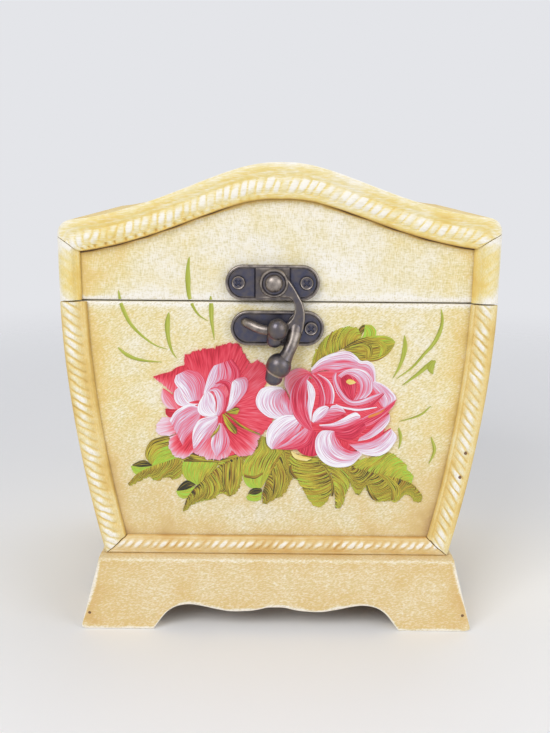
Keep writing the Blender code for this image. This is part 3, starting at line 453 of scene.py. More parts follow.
@dataclass(frozen=True)
class PaintedBoard(Finish):
    """Casein-type craft paint brushed thin over primed board, sanded back and glazed.

    It gives the eye a chalky cream-yellow with fine pale brush marks, white where it is rubbed
    through to the primer and ochre where the glaze has gathered.
    """

    # Size of one dry-brush fleck, drawn about twice as coarse as the real one so that it shows, and
    # how much longer than wide it is.
    fleck_mm: float = 0.44
    stretch: float = 1.7
    # Direction of the flecks in the front's plane, from upright.
    lean_degrees: float = 0.0
    # Whether flecks run both up and across, as where paint catches on a woven ground.
    woven: bool = False
    fleck_dark: float = 0.6
    fleck_light: float = 0.8
    # The noise at which dark and light flecks begin, and at which they are full.
    dark_range: tuple = (0.52, 0.3)
    light_range: tuple = (0.48, 0.72)
    dark_fleck: str = "#CDBF78"
    light_fleck: str = "#FCF7E8"
    # Strength of the cloudy patches, which are about 12 mm wide.
    patch_strength: float = 0.9
    patch_scale: float = 85.0
    # The shade where tone is zero, and how much tone moves it.
    middle: float = 0.5
    tone_weight: float = 0.42
    # The paint from ochre glaze, through cream, to the white primer that rubbing lays bare.
    stops: tuple = (
        (0.0, "#C8A052"), (0.16, "#DDBB69"), (0.36, "#EBCE82"), (0.55, "#EFDDA3"), (0.72, "#F3E8C6"),
        (0.92, "#FBF6EC"),
    )
    # The darkest colour, for a dark line: painted shadow in a joint, and a split in the paint.
    shadow_and_crack_line: str = "#634A31"
    # Which way the grain of its bare faces runs.
    grain: tuple = GRAIN_ACROSS
    # How much painted shade, greyer and darker, lies low on the board, below the heights between which it
    # sets in.
    painted_low_shade: float = 0.0
    painted_low_shade_colour: str = "#C9B4A8"
    painted_low_shade_from: float = 90 * MM
    painted_low_shade_to: float = 48 * MM

    def build(self, tree: bpy.types.NodeTree) -> bpy.types.NodeSocket:
        """Shade = middle + tone + cloudy patches, on one ramp.

        Flecks darken it, and whiten it where it is thin. The deepest tone is a dark line of painted
        shadow in a joint and a split in the paint. Where it is set, painted shade greys the board low down.
        """
        add = partial(add_node, tree)
        place = add("TexCoord", out="Object")
        tone = add("Attribute", out="Fac", attribute_name="tone")
        flecks = self.flecks(tree, place)
        patches = add(
            "TexNoise", {"Vector": place, "Scale": self.patch_scale, "Detail": 5.0, "Roughness": 0.62})
        base = add("Math", {0: tone, 1: self.tone_weight, 2: self.middle}, operation="MULTIPLY_ADD")
        centred = add("Math", {0: patches, 1: 0.5}, operation="SUBTRACT")
        shade = add("Math", {0: centred, 1: self.patch_strength, 2: base}, operation="MULTIPLY_ADD")
        paint = add("ValToRGB", {0: shade}, stops=self.stops)
        thin = add("MapRange", {0: shade, 1: 0.2, 2: 0.6, 3: 0.12, 4: 1.0})
        layers = []
        # Painted shade, greyer and darker, low on the board.
        if self.painted_low_shade:
            height = add("SeparateXYZ", {0: place}, out="Z")
            low_down = add(
                "MapRange", {0: height, 1: self.painted_low_shade_from, 2: self.painted_low_shade_to, 3: 0.0, 4: self.painted_low_shade},
                interpolation_type="SMOOTHSTEP")
            layers.append((low_down, linear(self.painted_low_shade_colour)))
        for (start, full), most, colour in (
            (self.dark_range, self.fleck_dark, self.dark_fleck),
            (self.light_range, self.fleck_light, self.light_fleck),
        ):
            marks = add("MapRange", {0: flecks, 1: start, 2: full, 3: 0.0, 4: most})
            layers.append((add("Math", {0: marks, 1: thin}, operation="MULTIPLY"), linear(colour)))
        layers += [
            (add("MapRange", {0: tone, 1: -1.5, 2: -2.3, 3: 0.0, 4: 1.0}), linear(self.shadow_and_crack_line)),
            (add("Attribute", out="Fac", attribute_name="bare"), wood_colour(tree, place, self.grain)),
        ]
        for share, colour in layers:
            paint = add("Mix", {0: share, 6: paint, 7: colour}, out=2, data_type="RGBA")
        relief = add("Bump", {"Height": flecks, "Strength": 0.3, "Distance": 0.1 * MM})
        rough = add("MapRange", {0: flecks, 1: 0.3, 2: 0.7, 3: 0.5, 4: 0.68})
        return add(
            "BsdfPrincipled", {"Base Color": paint, "Roughness": rough, "Normal": relief, "IOR": 1.48})

    def flecks(self, tree: bpy.types.NodeTree, place: bpy.types.NodeSocket) -> bpy.types.NodeSocket:
        """Noise drawn out one way, and on a woven ground mixed with the same noise the other way."""
        add = partial(add_node, tree)
        lean = (0, math.radians(self.lean_degrees), 0)
        leant = add("Mapping", {0: place, "Rotation": lean}, vector_type="TEXTURE")
        fine = 1 / (self.fleck_mm * MM)
        long = fine / self.stretch
        scales = ((fine, fine, long), (long, fine, fine)) if self.woven else ((fine, fine, long),)
        warp, *weft = (
            add("TexNoise", {
                "Vector": add("Mapping", {0: leant, "Scale": scale}), "Scale": 1.0, "Detail": 2.0,
                "Roughness": 0.6,
            })
            for scale in scales
        )
        if not weft:
            return warp
        both = add("Math", {0: warp, 1: weft[0]}, operation="ADD")
        return add("Math", {0: both, 1: 0.72, 2: -0.22}, operation="MULTIPLY_ADD")


def wood_colour(
    tree: bpy.types.NodeTree, place: bpy.types.NodeSocket, grain: tuple = GRAIN_ACROSS,
) -> bpy.types.NodeSocket:
    """Plain light board: straight grain about 1 mm wide, in two browns.

    Args:
        tree: the material's node tree.
        place: the socket that gives the place on the object.
        grain: how fast the wood changes along x, y and z.

    Returns:
        The colour's socket.
    """
    scaled = add_node(tree, "Mapping", {0: place, "Scale": grain})
    lines = add_node(tree, "TexNoise", {"Vector": scaled, "Scale": 1.0, "Detail": 5.0, "Distortion": 0.6})
    browns = ((0.25, "#A27C50"), (0.5, "#C29B69"), (0.75, "#D6B586"))
    return add_node(tree, "ValToRGB", {0: lines}, stops=browns)


@dataclass(frozen=True)
class BareBoard(Finish):
    """Unpainted basswood board, sanded: a matt light brown with a fine straight grain."""

    def build(self, tree: bpy.types.NodeTree) -> bpy.types.NodeSocket:
        """Straight grain in two browns, with the grain as a faint relief."""
        colour = wood_colour(tree, add_node(tree, "TexCoord", out="Object"))
        relief = add_node(tree, "Bump", {"Height": colour, "Strength": 0.2, "Distance": 0.1 * MM})
        return add_node(tree, "BsdfPrincipled", {"Base Color": colour, "Roughness": 0.62, "Normal": relief})


@dataclass(frozen=True)
class AgedMetal(Finish):
    """Die-cast zinc plated antique bronze: dark violet-grey hollows and brown, rubbed high spots."""

    dark: str = "#525365"
    middle: str = "#6E6662"
    # The rubbed colour, which also gives the painted highlights.
    worn: str = "#C2B7AC"
    roughness: float = 0.33
    metallic: float = 0.86
    # Stains are about 2.4 mm wide, and the grains of the cast skin 0.4 mm.
    stain_scale: float = 420.0
    skin_scale: float = 2600.0

    def build(self, tree: bpy.types.NodeTree) -> bpy.types.NodeSocket:
        """Shade = tone + soft stains, on a ramp from hollow to worn; the cast skin is a fine relief."""
        add = partial(add_node, tree)
        place = add("TexCoord", out="Object")
        stains = add(
            "TexNoise", {"Vector": place, "Scale": self.stain_scale, "Detail": 4.0, "Roughness": 0.6})
        skin = add("TexNoise", {"Vector": place, "Scale": self.skin_scale, "Detail": 2.0})
        tone = add("Attribute", out="Fac", attribute_name="tone")
        shifted = add("Math", {0: tone, 1: 0.5, 2: -0.02}, operation="MULTIPLY_ADD")
        shade = add("Math", {0: stains, 1: 0.85, 2: shifted}, operation="MULTIPLY_ADD")
        colour = add(
            "ValToRGB", {0: shade}, stops=((0.1, self.dark), (0.45, self.middle), (0.95, self.worn)))
        least, most = self.roughness - 0.06, self.roughness + 0.12
        rough = add("MapRange", {0: stains, 1: 0.3, 2: 0.7, 3: least, 4: most})
        relief = add("Bump", {"Height": skin, "Strength": 0.16, "Distance": 0.06 * MM})
        return add(
            "BsdfPrincipled",
            {"Base Color": colour, "Metallic": self.metallic, "Roughness": rough, "Normal": relief})


@dataclass(frozen=True)
class LoadedBrush(Finish):
    """Craft acrylic laid with a flat brush that carries two colours: streaks run along the stroke.

    tone is the brush's load across the stroke, and bristle the place on the stroke in mm.
    """

    stops: tuple = ((0.0, "#000000"), (1.0, "#FFFFFF"))
    # Width of one bristle's streak, and how long it runs before it changes.
    streak_mm: float = 0.42
    run_mm: float = 9.0
    streak_strength: float = 0.5
    roughness: float = 0.42
    # A second colour left on the brush, which shows in wider streaks at middling loads.
    tint: str = "#FFFFFF"
    tint_share: float = 0.0
    # Loads at which the second colour is gone, each with the load at which it is full.
    tint_ranges: tuple = ((0.9, 0.7), (0.08, 0.2))
    # Depth of the furrows that the bristles leave.
    furrow_mm: float = 0.12

    def build(self, tree: bpy.types.NodeTree) -> bpy.types.NodeSocket:
        """Load = tone + streaks, read on a ramp of the brush's colours; the streaks are a relief."""
        add = partial(add_node, tree)
        place = add("UVMap", uv_map="bristle")
        tone = add("Attribute", out="Fac", attribute_name="tone")
        scaled = add("Mapping", {0: place, "Scale": (1 / self.run_mm, 1 / self.streak_mm, 1.0)})
        streaks = add(
            "TexNoise", {"Vector": scaled, "Scale": 1.0, "Detail": 1.6, "Roughness": 0.6},
            noise_dimensions="2D")
        centred = add("Math", {0: streaks, 1: 0.5}, operation="SUBTRACT")
        load = add("Math", {0: centred, 1: self.streak_strength * 3, 2: tone}, operation="MULTIPLY_ADD")
        colour = add("ValToRGB", {0: load}, stops=self.stops)
        if self.tint_share:
            widened = add("Mapping", {0: place, "Scale": (0.4 / self.run_mm, 0.45 / self.streak_mm, 1.0)})
            wide = add("TexNoise", {"Vector": widened, "Scale": 1.0, "Detail": 2.0}, noise_dimensions="2D")
            share = add("MapRange", {0: wide, 1: 0.52, 2: 0.66, 3: 0.0, 4: self.tint_share})
            for gone, full in self.tint_ranges:
                spared = add("MapRange", {0: tone, 1: gone, 2: full, 3: 0.0, 4: 1.0})
                share = add("Math", {0: share, 1: spared}, operation="MULTIPLY")
            colour = add("Mix", {0: share, 6: colour, 7: linear(self.tint)}, out=2, data_type="RGBA")
        relief = add("Bump", {"Height": streaks, "Strength": 0.5, "Distance": self.furrow_mm * MM})
        return add(
            "BsdfPrincipled",
            {"Base Color": colour, "Roughness": self.roughness, "Normal": relief, "IOR": 1.5})


@dataclass(frozen=True)
class Backdrop(Finish):
    """Matt pale paper under the chest, which fades out into the even background around it."""

    colour: str = "#F4F4F6"
    fade_from: float = 0.22
    fade_to: float = 0.8

    def build(self, tree: bpy.types.NodeTree) -> bpy.types.NodeSocket:
        """Clearness rises with the distance from the middle of the floor, from none to full."""
        add = partial(add_node, tree)
        away = add("VectorMath", {0: add("TexCoord", out="Object")}, out="Value", operation="LENGTH")
        clear = add(
            "MapRange", {0: away, 1: self.fade_from, 2: self.fade_to, 3: 0.0, 4: 1.0},
            interpolation_type="SMOOTHSTEP")
        paper = add("BsdfPrincipled", {"Base Color": linear(self.colour), "Roughness": 0.9})
        return add("MixShader", {0: clear, 1: paper, 2: add("BsdfTransparent")})


# The body's front, greyed low down by painted shade.
PANEL_PAINT = PaintedBoard(
    "dry_brushed_cream_paint_on_panel", lean_degrees=66.0, stretch=2.2, fleck_dark=0.65, fleck_light=0.9,
    painted_low_shade=0.24)
LID_PAINT = PaintedBoard(
    "dry_brushed_cream_paint_on_lid", lean_degrees=1.0, stretch=5.0, fleck_mm=0.34, middle=0.56, woven=True)
CARVED_PAINT = PaintedBoard(
    "rubbed_cream_paint_on_carving", fleck_dark=0.35, fleck_light=0.45, middle=0.45)
CROWN_PAINT = PaintedBoard(
    "rubbed_cream_paint_brushed_lengthways", lean_degrees=90.0, stretch=7.0, fleck_dark=0.3,
    fleck_light=0.75, patch_strength=1.0, middle=0.49,
    stops=(
        (0.0, "#CFA54E"), (0.16, "#E3BE62"), (0.36, "#EFD27A"), (0.55, "#F2DF9C"), (0.72, "#F5E9C2"),
        (0.92, "#FBF6EC"),
    ),
)
BASE_PAINT = PaintedBoard(
    "dry_brushed_cream_paint_on_plinth", lean_degrees=80.0, stretch=2.6, fleck_mm=0.37, fleck_dark=0.5,
    fleck_light=1.0, patch_strength=0.55, middle=0.45,
    stops=(
        (0.0, "#C4944F"), (0.16, "#D9AF68"), (0.36, "#E4C585"), (0.55, "#EBD4A2"), (0.72, "#F3E4C4"),
        (0.92, "#FBF4E8"),
    ),
)
PLINTH_TRIM_PAINT = PaintedBoard(
    "rubbed_tan_paint_on_carving", lean_degrees=90.0, stretch=4.0, fleck_dark=0.3, fleck_light=0.4,
    middle=0.39, stops=BASE_PAINT.stops)
ENDS_PAINT = PaintedBoard(
    "rubbed_cream_paint_on_lid_ends", fleck_dark=0.35, fleck_light=0.45, patch_strength=1.1, middle=0.41,
    stops=CROWN_PAINT.stops)
SIDE_PAINT = PaintedBoard(
    "brushed_cream_paint_on_sides", stretch=6.0, fleck_dark=0.5, fleck_light=0.6, middle=0.48)
# Bent boards and the lid's ends have their grain from front to back.
BENT_PAINT = replace(SIDE_PAINT, name="brushed_cream_paint_on_bent_boards", grain=GRAIN_BACKWARDS)
BARE_BOARD = BareBoard("sanded_basswood")
BRONZE = AgedMetal("antique_bronze_plate")
# Bright drawn wire, a colder grey than the bronze and nearly even.
STEEL = AgedMetal("drawn_steel", dark="#4A484C", middle="#7A787C", worn="#B5B2B4", roughness=0.32)
# Wire ends gone brown: hardly any gloss is left.
RUSTED = AgedMetal(
    "rusted_wire", dark="#5F4632", middle="#7D5C40", worn="#A3835A", roughness=0.6, metallic=0.1)
ROSE_PAINT = LoadedBrush(
    "rose_acrylic_in_streaks", streak_mm=0.34, streak_strength=0.42,
    stops=(
        (0.0, "#B81D3C"), (0.14, "#DA304E"), (0.32, "#E94D68"), (0.46, "#EA7890"), (0.61, "#E29CB5"),
        (0.77, "#E0BDD6"), (0.91, "#EFE3F1"), (1.0, "#FBF9FD"),
    ),
)
RED_PAINT = LoadedBrush(
    "rose_acrylic_laid_thick", streak_mm=0.5, run_mm=7.0, streak_strength=0.24, furrow_mm=0.07,
    stops=(
        (0.0, "#BE1E33"), (0.14, "#DE344A"), (0.3, "#EB4F61"), (0.46, "#EF7586"), (0.7, "#EBA8BA"),
        (1.0, "#F3DFEC"),
    ),
)
LEAF_PAINT = LoadedBrush(
    "olive_and_lime_acrylic", streak_mm=0.31, streak_strength=0.79, tint="#B27D26", tint_share=0.48,
    stops=(
        (0.0, "#25271A"), (0.15, "#4B421A"), (0.32, "#837024"), (0.48, "#AC972E"), (0.62, "#DFCE49"),
        (0.76, "#B7B439"), (0.88, "#8FBA33"), (1.0, "#A8D349"),
    ),
)
GOLD_PAINT = LoadedBrush(
    "gold_acrylic", streak_strength=0.3,
    stops=((0.0, "#DF6A3E"), (0.4, "#E8903E"), (0.7, "#EDBE3C"), (1.0, "#F3E39A")))
GRASS_PAINT = LoadedBrush(
    "grass_acrylic", streak_mm=0.36, run_mm=8.0, streak_strength=0.4,
    stops=((0.0, "#7E8426"), (0.35, "#A3A636"), (0.65, "#AFBA4A"), (1.0, "#D2CE68")))


class Slot(Enum):
    """The names of the record's material slots, given with the pieces."""

    CREAM = "cream_paint"
    RUBBED = "rubbed_paint"
    BRONZE = "antique_bronze"
    STEEL = "steel"


class Body(Enum):
    """The bodies that pieces ride on."""

    CHEST = "body"
    LID = "lid"
    HOOK = "hook"


def make_piece(
    name: str, shape: Shape, finish: Finish, body: Body, slot: Slot | None, replaces: tuple = (),
    sharp: float = 35.0,
) -> None:
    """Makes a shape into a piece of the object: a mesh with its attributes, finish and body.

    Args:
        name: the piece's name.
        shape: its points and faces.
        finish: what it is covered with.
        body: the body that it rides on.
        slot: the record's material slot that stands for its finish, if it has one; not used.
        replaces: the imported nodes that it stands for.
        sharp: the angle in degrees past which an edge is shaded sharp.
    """
    mesh = bpy.data.meshes.new(name)
    mesh.from_pydata(shape.points.tolist(), [], shape.faces)
    for label, domain, values in (("tone", "POINT", shape.tone), ("bare", "FACE", shape.bare)):
        layer = mesh.attributes.new(label, "FLOAT", domain)
        layer.data.foreach_set("value", values.astype(np.float32))
    if shape.bristle is not None:
        layer = mesh.uv_layers.new(name="bristle")
        corners = np.zeros(len(mesh.loops), dtype=np.int32)
        mesh.loops.foreach_get("vertex_index", corners)
        layer.data.foreach_set("uv", shape.bristle[corners].astype(np.float32).ravel())
    work = bmesh.new()
    work.from_mesh(mesh)
    bmesh.ops.recalc_face_normals(work, faces=work.faces)
    work.to_mesh(mesh)
    work.free()
    mesh.shade_smooth()
    mesh.set_sharp_from_angle(angle=math.radians(sharp))
    mesh.materials.append(finish.material())
    piece = bpy.data.objects.new(name, mesh)
    bpy.context.scene.collection.objects.link(piece)
    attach(piece, body.value)
    if replaces:
        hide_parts(*replaces)
    LOG.info("%s: %d points, %d faces", name, len(mesh.vertices), len(mesh.polygons))


def middle_of(node: str) -> tuple:
    """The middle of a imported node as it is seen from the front: its x and z."""
    low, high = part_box(node)
    return (low.x + high.x) / 2, (low.z + high.z) / 2


# The photograph's view


@dataclass(frozen=True)
class PhotoView:
    """The camera of the photograph: a phone held in front of the chest, looking slightly down."""

    width_px: int = 550
    height_px: int = 733
    focal_px: float = 880.0
    sensor_mm: float = 36.0
    pitch_degrees: float = 12.9
    roll_degrees: float = 0.5
    left: float = -1.2 * MM
    # How far the camera stands in front of the mouldings, and how high.
    stand_off: float = 306.4 * MM
    height: float = 172.0 * MM

    def axes(self) -> np.ndarray:
        """The camera's right, up and forward directions, one a row."""
        pitch, roll = math.radians(self.pitch_degrees), math.radians(self.roll_degrees)
        level = np.array([1.0, 0.0, 0.0])
        square = np.array([0.0, math.sin(pitch), math.cos(pitch)])
        forward = np.array([0.0, math.cos(pitch), -math.sin(pitch)])
        right = math.cos(roll) * level + math.sin(roll) * square
        up = -math.sin(roll) * level + math.cos(roll) * square
        return np.array([right, up, forward])

    def place(self, front: float) -> np.ndarray:
        """Where the camera stands, given the depth of the chest's front."""
        return np.array([self.left, front - self.stand_off, self.height])

    def on_plane(self, pixels: np.ndarray, front: float, plane: float) -> np.ndarray:
        """Where pixels of the photograph meet an upright plane across the chest.

        Args:
            pixels: rows of photo pixels, right and down.
            front: the depth of the chest's front.
            plane: the depth of the plane.

        Returns:
            Rows of (x, z).
        """
        right, up, forward = self.axes()
        across = (pixels[..., 0] - self.width_px / 2) / self.focal_px
        down = (pixels[..., 1] - self.height_px / 2) / self.focal_px
        ray = forward + across[..., None] * right - down[..., None] * up
        start = self.place(front)
        reach = (plane - start[1]) / ray[..., 1]
        return (start + reach[..., None] * ray)[..., [0, 2]]

    def build(self, front: float) -> None:
        """Makes the camera and sets it as the scene's."""
        right, up, forward = self.axes()
        data = bpy.data.cameras.new("photo_view")
        data.sensor_width = self.sensor_mm
        data.sensor_fit = "AUTO"
        data.lens = self.sensor_mm * self.focal_px / self.height_px
        camera = bpy.data.objects.new("photo_view", data)
        matrix = Matrix(np.column_stack([right, up, -forward]).tolist()).to_4x4()
        matrix.translation = Vector(self.place(front))
        camera.matrix_world = matrix
        bpy.context.scene.collection.objects.link(camera)
        bpy.context.scene.camera = camera


@dataclass(frozen=True)
class Studio:
    """A pale floor in even light, a large soft key from the upper left and a weaker fill."""

    floor_size: float = 4.0
    # Points along each side of the floor.
    floor_points: int = 9
    # Each square lamp's name, place, watts and side, and the place that all of them are turned to.
    lamps: tuple = (
        ("key_light", (-0.45, -0.75, 0.75), 5.2, 0.55),
        ("fill_light", (0.7, -0.55, 0.4), 2.4, 0.6),
        ("top_light", (0.1, 0.25, 0.95), 1.8, 0.5),
    )
    aim: tuple = (0.0, 0.0, 0.08)
    # The surrounding light, and the even colour that the camera sees instead of it.
    sky: str = "#F4F6FA"
    sky_strength: float = 0.42
    surround: str = "#E4E5E9"

    def build(self) -> None:
        """Makes the floor, the lamps and the even surrounding light."""
        scene = bpy.context.scene
        scene.view_settings.view_transform = "Standard"
        across = np.linspace(-self.floor_size / 2, self.floor_size / 2, self.floor_points)
        x, y = np.meshgrid(across, across, indexing="ij")
        points = np.stack([x, y, np.zeros_like(x)], axis=-1)
        mesh = bpy.data.meshes.new("floor")
        mesh.from_pydata(points.reshape(-1, 3).tolist(), [], quads(numbered(*x.shape)).tolist())
        mesh.shade_smooth()
        mesh.materials.append(Backdrop("pale_paper").material())
        floor = bpy.data.objects.new("floor", mesh)
        scene.collection.objects.link(floor)
        for name, place, watts, size in self.lamps:
            data = bpy.data.lights.new(name, "AREA")
            data.energy, data.size = watts, size
            lamp = bpy.data.objects.new(name, data)
            lamp.location = place
            lamp.rotation_euler = (Vector(self.aim) - Vector(place)).to_track_quat("-Z", "Y").to_euler()
            scene.collection.objects.link(lamp)
        scene.world = bpy.data.worlds.new("even_sky")
        scene.world.use_nodes = True
        scene.world.node_tree.nodes.clear()
        add = partial(add_node, scene.world.node_tree)
        seen = add("LightPath", out="Is Camera Ray")
        for ray in ("Is Glossy Ray", "Is Transmission Ray"):
            seen = add("Math", {0: seen, 1: add("LightPath", out=ray)}, operation="MAXIMUM")
        light = add("Background", {0: linear(self.sky), 1: self.sky_strength})
        picture = add("Background", {0: linear(self.surround), 1: 1.0})
        add("OutputWorld", {0: add("MixShader", {0: seen, 1: light, 2: picture})})


# The chest's boards

# Both sides of the chest: their direction along x, and the word for them.
SIDES = ((-1, "left"), (1, "right"))


@dataclass
class Carcass:
    """The painted boards of the body and the lid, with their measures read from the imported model."""

    flare: float = 12.9 * MM
    flare_power: float = 1.77
    shoulder_radius: float = 5.0 * MM
    lean: float = 1.0 * MM
    roof_thickness: float = 3.4 * MM
    side_thickness: float = 3.8 * MM
    panel_thickness: float = 5.0 * MM
    end_band_left: float = 7.4 * MM
    end_band_right: float = 9.0 * MM
    band_crown: float = 12.4 * MM
    band_shoulder: float = 11.0 * MM
    side_band: float = 9.2 * MM
    bottom_band: float = 6.7 * MM
    gap: float = 0.3 * MM
    edge_radius: float = 0.7 * MM
    # Points along the roof's curve, round each shoulder, over the lid's panels and over the roof.
    curve_points: int = 90
    shoulder_points: int = 9
    panel_points: int = 141
    roof_points: int = 180
    # Steps of the boards' grids: up a panel and across it, up a side and from front to back.
    panel_step: float = 1.2 * MM
    across_step: float = 1.3 * MM
    side_step: float = 2.0 * MM
    depth_step: float = 2.5 * MM
    # Share of the roof's half width, and share of its rise above the shoulder.
    crown_shares: tuple = (
        (0.0, 1.0), (0.07, 0.99), (0.143, 0.95), (0.256, 0.835), (0.369, 0.685), (0.483, 0.525),
        (0.6, 0.368), (0.714, 0.235), (0.829, 0.125), (0.944, 0.045), (1.0, 0.02),
    )
    front: float = field(init=False)
    panel: float = field(init=False)
    back: float = field(init=False)
    body_low: float = field(init=False)
    body_high: float = field(init=False)
    seam: float = field(init=False)
    lid_low: float = field(init=False)
    half_top: float = field(init=False)
    crown: float = field(init=False)
    shoulder: float = field(init=False)

    def __post_init__(self) -> None:
        """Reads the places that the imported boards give."""
        low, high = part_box("body_front_panel")
        self.panel, self.body_low, self.body_high = low.y, low.z, high.z
        low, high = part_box("lid_roof")
        self.back, self.half_top, self.crown = high.y, high.x, high.z
        self.shoulder = low.z + self.lean + self.shoulder_radius
        self.lid_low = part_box("lid_front_panel")[0].z
        self.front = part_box("lid_moulding_top")[0].y
        self.seam = (self.body_high + self.lid_low) / 2

    def half_width(self, height: float | np.ndarray) -> np.ndarray:
        """Half the chest's width at a height: full from the seam up, less a power of the drop below."""
        drop = (self.seam - np.asarray(height)) / (self.seam - self.body_low)
        return self.half_top - self.flare * np.clip(drop, 0, None) ** self.flare_power

    def roof_height(self, x: float | np.ndarray) -> np.ndarray:
        """Height of the roof's outer face over a place across the width, its lean included."""
        share = smooth_shares(self.crown_shares, np.abs(x) / (self.half_top - self.shoulder_radius))
        return self.shoulder + (self.crown - self.shoulder) * share + self.lean * x / self.half_top

    def roof_path(self, count: int, inset: float = 0.0) -> np.ndarray:
        """The roof's section from the left eaves to the right, set in square to it by a distance.

        Args:
            count: how many points.
            inset: how far below the outer face.

        Returns:
            Rows of (x, z).
        """
        flat = self.half_top - self.shoulder_radius
        across = np.linspace(-flat, flat, self.curve_points)
        top = np.column_stack([across, self.roof_height(across)])
        turn = np.linspace(math.pi / 2, 0, self.shoulder_points)[1:]
        ends = []
        for side, _ in SIDES:
            eaves = self.shoulder - self.shoulder_radius + side * self.lean
            rise = self.roof_height(side * flat) - eaves
            ends.append(np.column_stack([
                side * (flat + self.shoulder_radius * np.cos(turn)), eaves + rise * np.sin(turn)]))
        path = respaced(np.vstack([ends[0][::-1], top, ends[1]]), count)
        if not inset:
            return path
        moved = path + inset * right_of(path)
        for row, side in ((0, -1), (-1, 1)):
            moved[row] = (side * (self.half_top - inset), path[row, 1])
        return moved

    def lid_band(self, x: float | np.ndarray) -> np.ndarray:
        """Height of the lower edge of the lid's top moulding."""
        share = np.abs(x) / self.half_top
        return self.roof_height(x) - self.band_crown + (self.band_crown - self.band_shoulder) * share

    def places(self, low: float, high: float, step: float) -> np.ndarray:
        """Places from one to the other in even steps, closer at the rounded ends."""
        return low + (high - low) * edge_places(high - low, step, self.edge_radius)

    def panel_slab(self, flat: np.ndarray, tone: np.ndarray, framed: bool) -> Shape:
        """A front or a back board with rounded borders.

        Args:
            flat: its grid of (x, z).
            tone: the tone at each point.
            framed: whether it is a front, which mouldings frame.

        Returns:
            The board.
        """
        face = self.panel if framed else self.back
        inner = upright(flat, face + (self.panel_thickness if framed else -self.panel_thickness))
        return slab(rounded(upright(flat, face), inner, self.edge_radius), inner, tone)

    def body_panel(self, framed: bool) -> Shape:
        """The body's front or back board, between the side boards."""
        heights = self.places(self.body_low, self.body_high, self.panel_step)
        shares = edge_places(2 * self.half_top, self.across_step, self.edge_radius) * 2 - 1
        half = self.half_width(heights) - self.side_thickness - self.gap
        x = half[:, None] * shares
        z = np.broadcast_to(heights[:, None], x.shape)
        side, low = (self.side_band, self.bottom_band) if framed else (self.side_thickness, 0.0)
        above = z - self.body_low - low
        rub = (1.2 + 0.6 * waves(x, 37 * MM, 3)) * MM
        tone = (
            0.32 - 0.75 * glaze(self.half_width(z) - side - np.abs(x), 6 * MM)
            - 0.74 * glaze(above, 21 * MM) + 1.7 * glaze(self.body_high - z, rub)
        )
        if framed:
            # The middle of the lower edge is paler.
            tone = tone + 0.3 * bump_of(x, 0, 34 * MM) * bump_of(above, 8 * MM, 7 * MM)
        return self.panel_slab(np.stack([x, z], axis=-1), tone, framed)

    def lid_panel(self, framed: bool) -> Shape:
        """The lid's front or back board, under the roof.

        The front is darker towards its left end, and has painted shade below the crown's moulding with
        a dark painted shadow line along it.
        """
        top = self.roof_path(self.panel_points, self.roof_thickness + self.gap)
        low = line((top[0, 0], self.lid_low), (top[-1, 0], self.lid_low), len(top))
        flat = ruled(low, top, edge_places(self.crown - self.lid_low, self.panel_step, self.edge_radius))
        x, z = flat[..., 0], flat[..., 1]
        free = self.half_top - (self.end_band_left if framed else self.roof_thickness) - np.abs(x)
        under = (self.lid_band(x) if framed else self.roof_height(x) - self.roof_thickness) - z
        above = z - self.lid_low
        ragged = waves(x, 29 * MM, 5)
        left = clipped(-x / self.half_top)
        # Painted shade lies along the top, below the crown's moulding or the roof.
        tone = (
            0.6 - (1.0 + 0.4 * left) * glaze(free, (13 + 4 * left) * MM) - 0.55 * glaze(under, 2.6 * MM)
            + 1.7 * glaze(above, (1.5 + 0.9 * ragged) * MM)
            + 1.4 * left * clipped(1.7 - above / ((0.95 + 0.55 * ragged) * MM))
        )
        if framed:
            # A dark painted shadow line along the crown's moulding.
            tone = tone - 3.0 * clipped(1.35 - under / (0.55 * MM))
        return self.panel_slab(flat, tone, framed)

    def worn(self, outer: np.ndarray, inner: np.ndarray, seed: int, depth: float = 0.0) -> Shape:
        """A plain board: rubbed white on its borders, glazed a little way in from them.

        Args:
            outer: the board's outer grid.
            inner: its inner grid.
            seed: which uneven line the wear follows.
            depth: how dark the whole board is.

        Returns:
            The board.
        """
        outer = rounded(outer, inner, self.edge_radius)
        away = border_distance(outer)
        rub = (0.7 + 0.35 * waves(outer.sum(axis=-1), 21 * MM, seed)) * MM
        return slab(outer, inner, 0.1 - depth - 0.55 * glaze(away, 7 * MM) + 1.9 * glaze(away, rub))

    def build(self) -> None:
        """Makes every painted board of the body and the lid."""
        for name, shape, finish, body in (
            ("body_front", self.body_panel(True), PANEL_PAINT, Body.CHEST),
            ("body_back", self.body_panel(False), SIDE_PAINT, Body.CHEST),
            ("lid_front", self.lid_panel(True), LID_PAINT, Body.LID),
            ("lid_back", self.lid_panel(False), SIDE_PAINT, Body.LID),
        ):
            make_piece(f"{name}_board", shape, finish, body, Slot.CREAM, (f"{name}_panel",))
        depths = self.places(self.panel, self.back, self.depth_step)
        for side, word in SIDES:
            end_low, end_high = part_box(f"lid_{word}_end")
            for body, node, low, high, thickness, seed in (
                (Body.CHEST, "side", self.body_low, self.body_high, self.side_thickness, 11),
                (Body.LID, "end", end_low.z, end_high.z, self.roof_thickness, 15),
            ):
                z, y = np.meshgrid(self.places(low, high, self.side_step), depths, indexing="ij")
                half = self.half_width(z)
                outer, inner = (
                    np.stack([side * (half - inset), y, z], axis=-1) for inset in (0.0, thickness))
                shape, name = self.worn(outer, inner, seed + side), f"{body.value}_{word}"
                make_piece(f"{name}_board", shape, BENT_PAINT, body, Slot.CREAM, (f"{name}_{node}",))
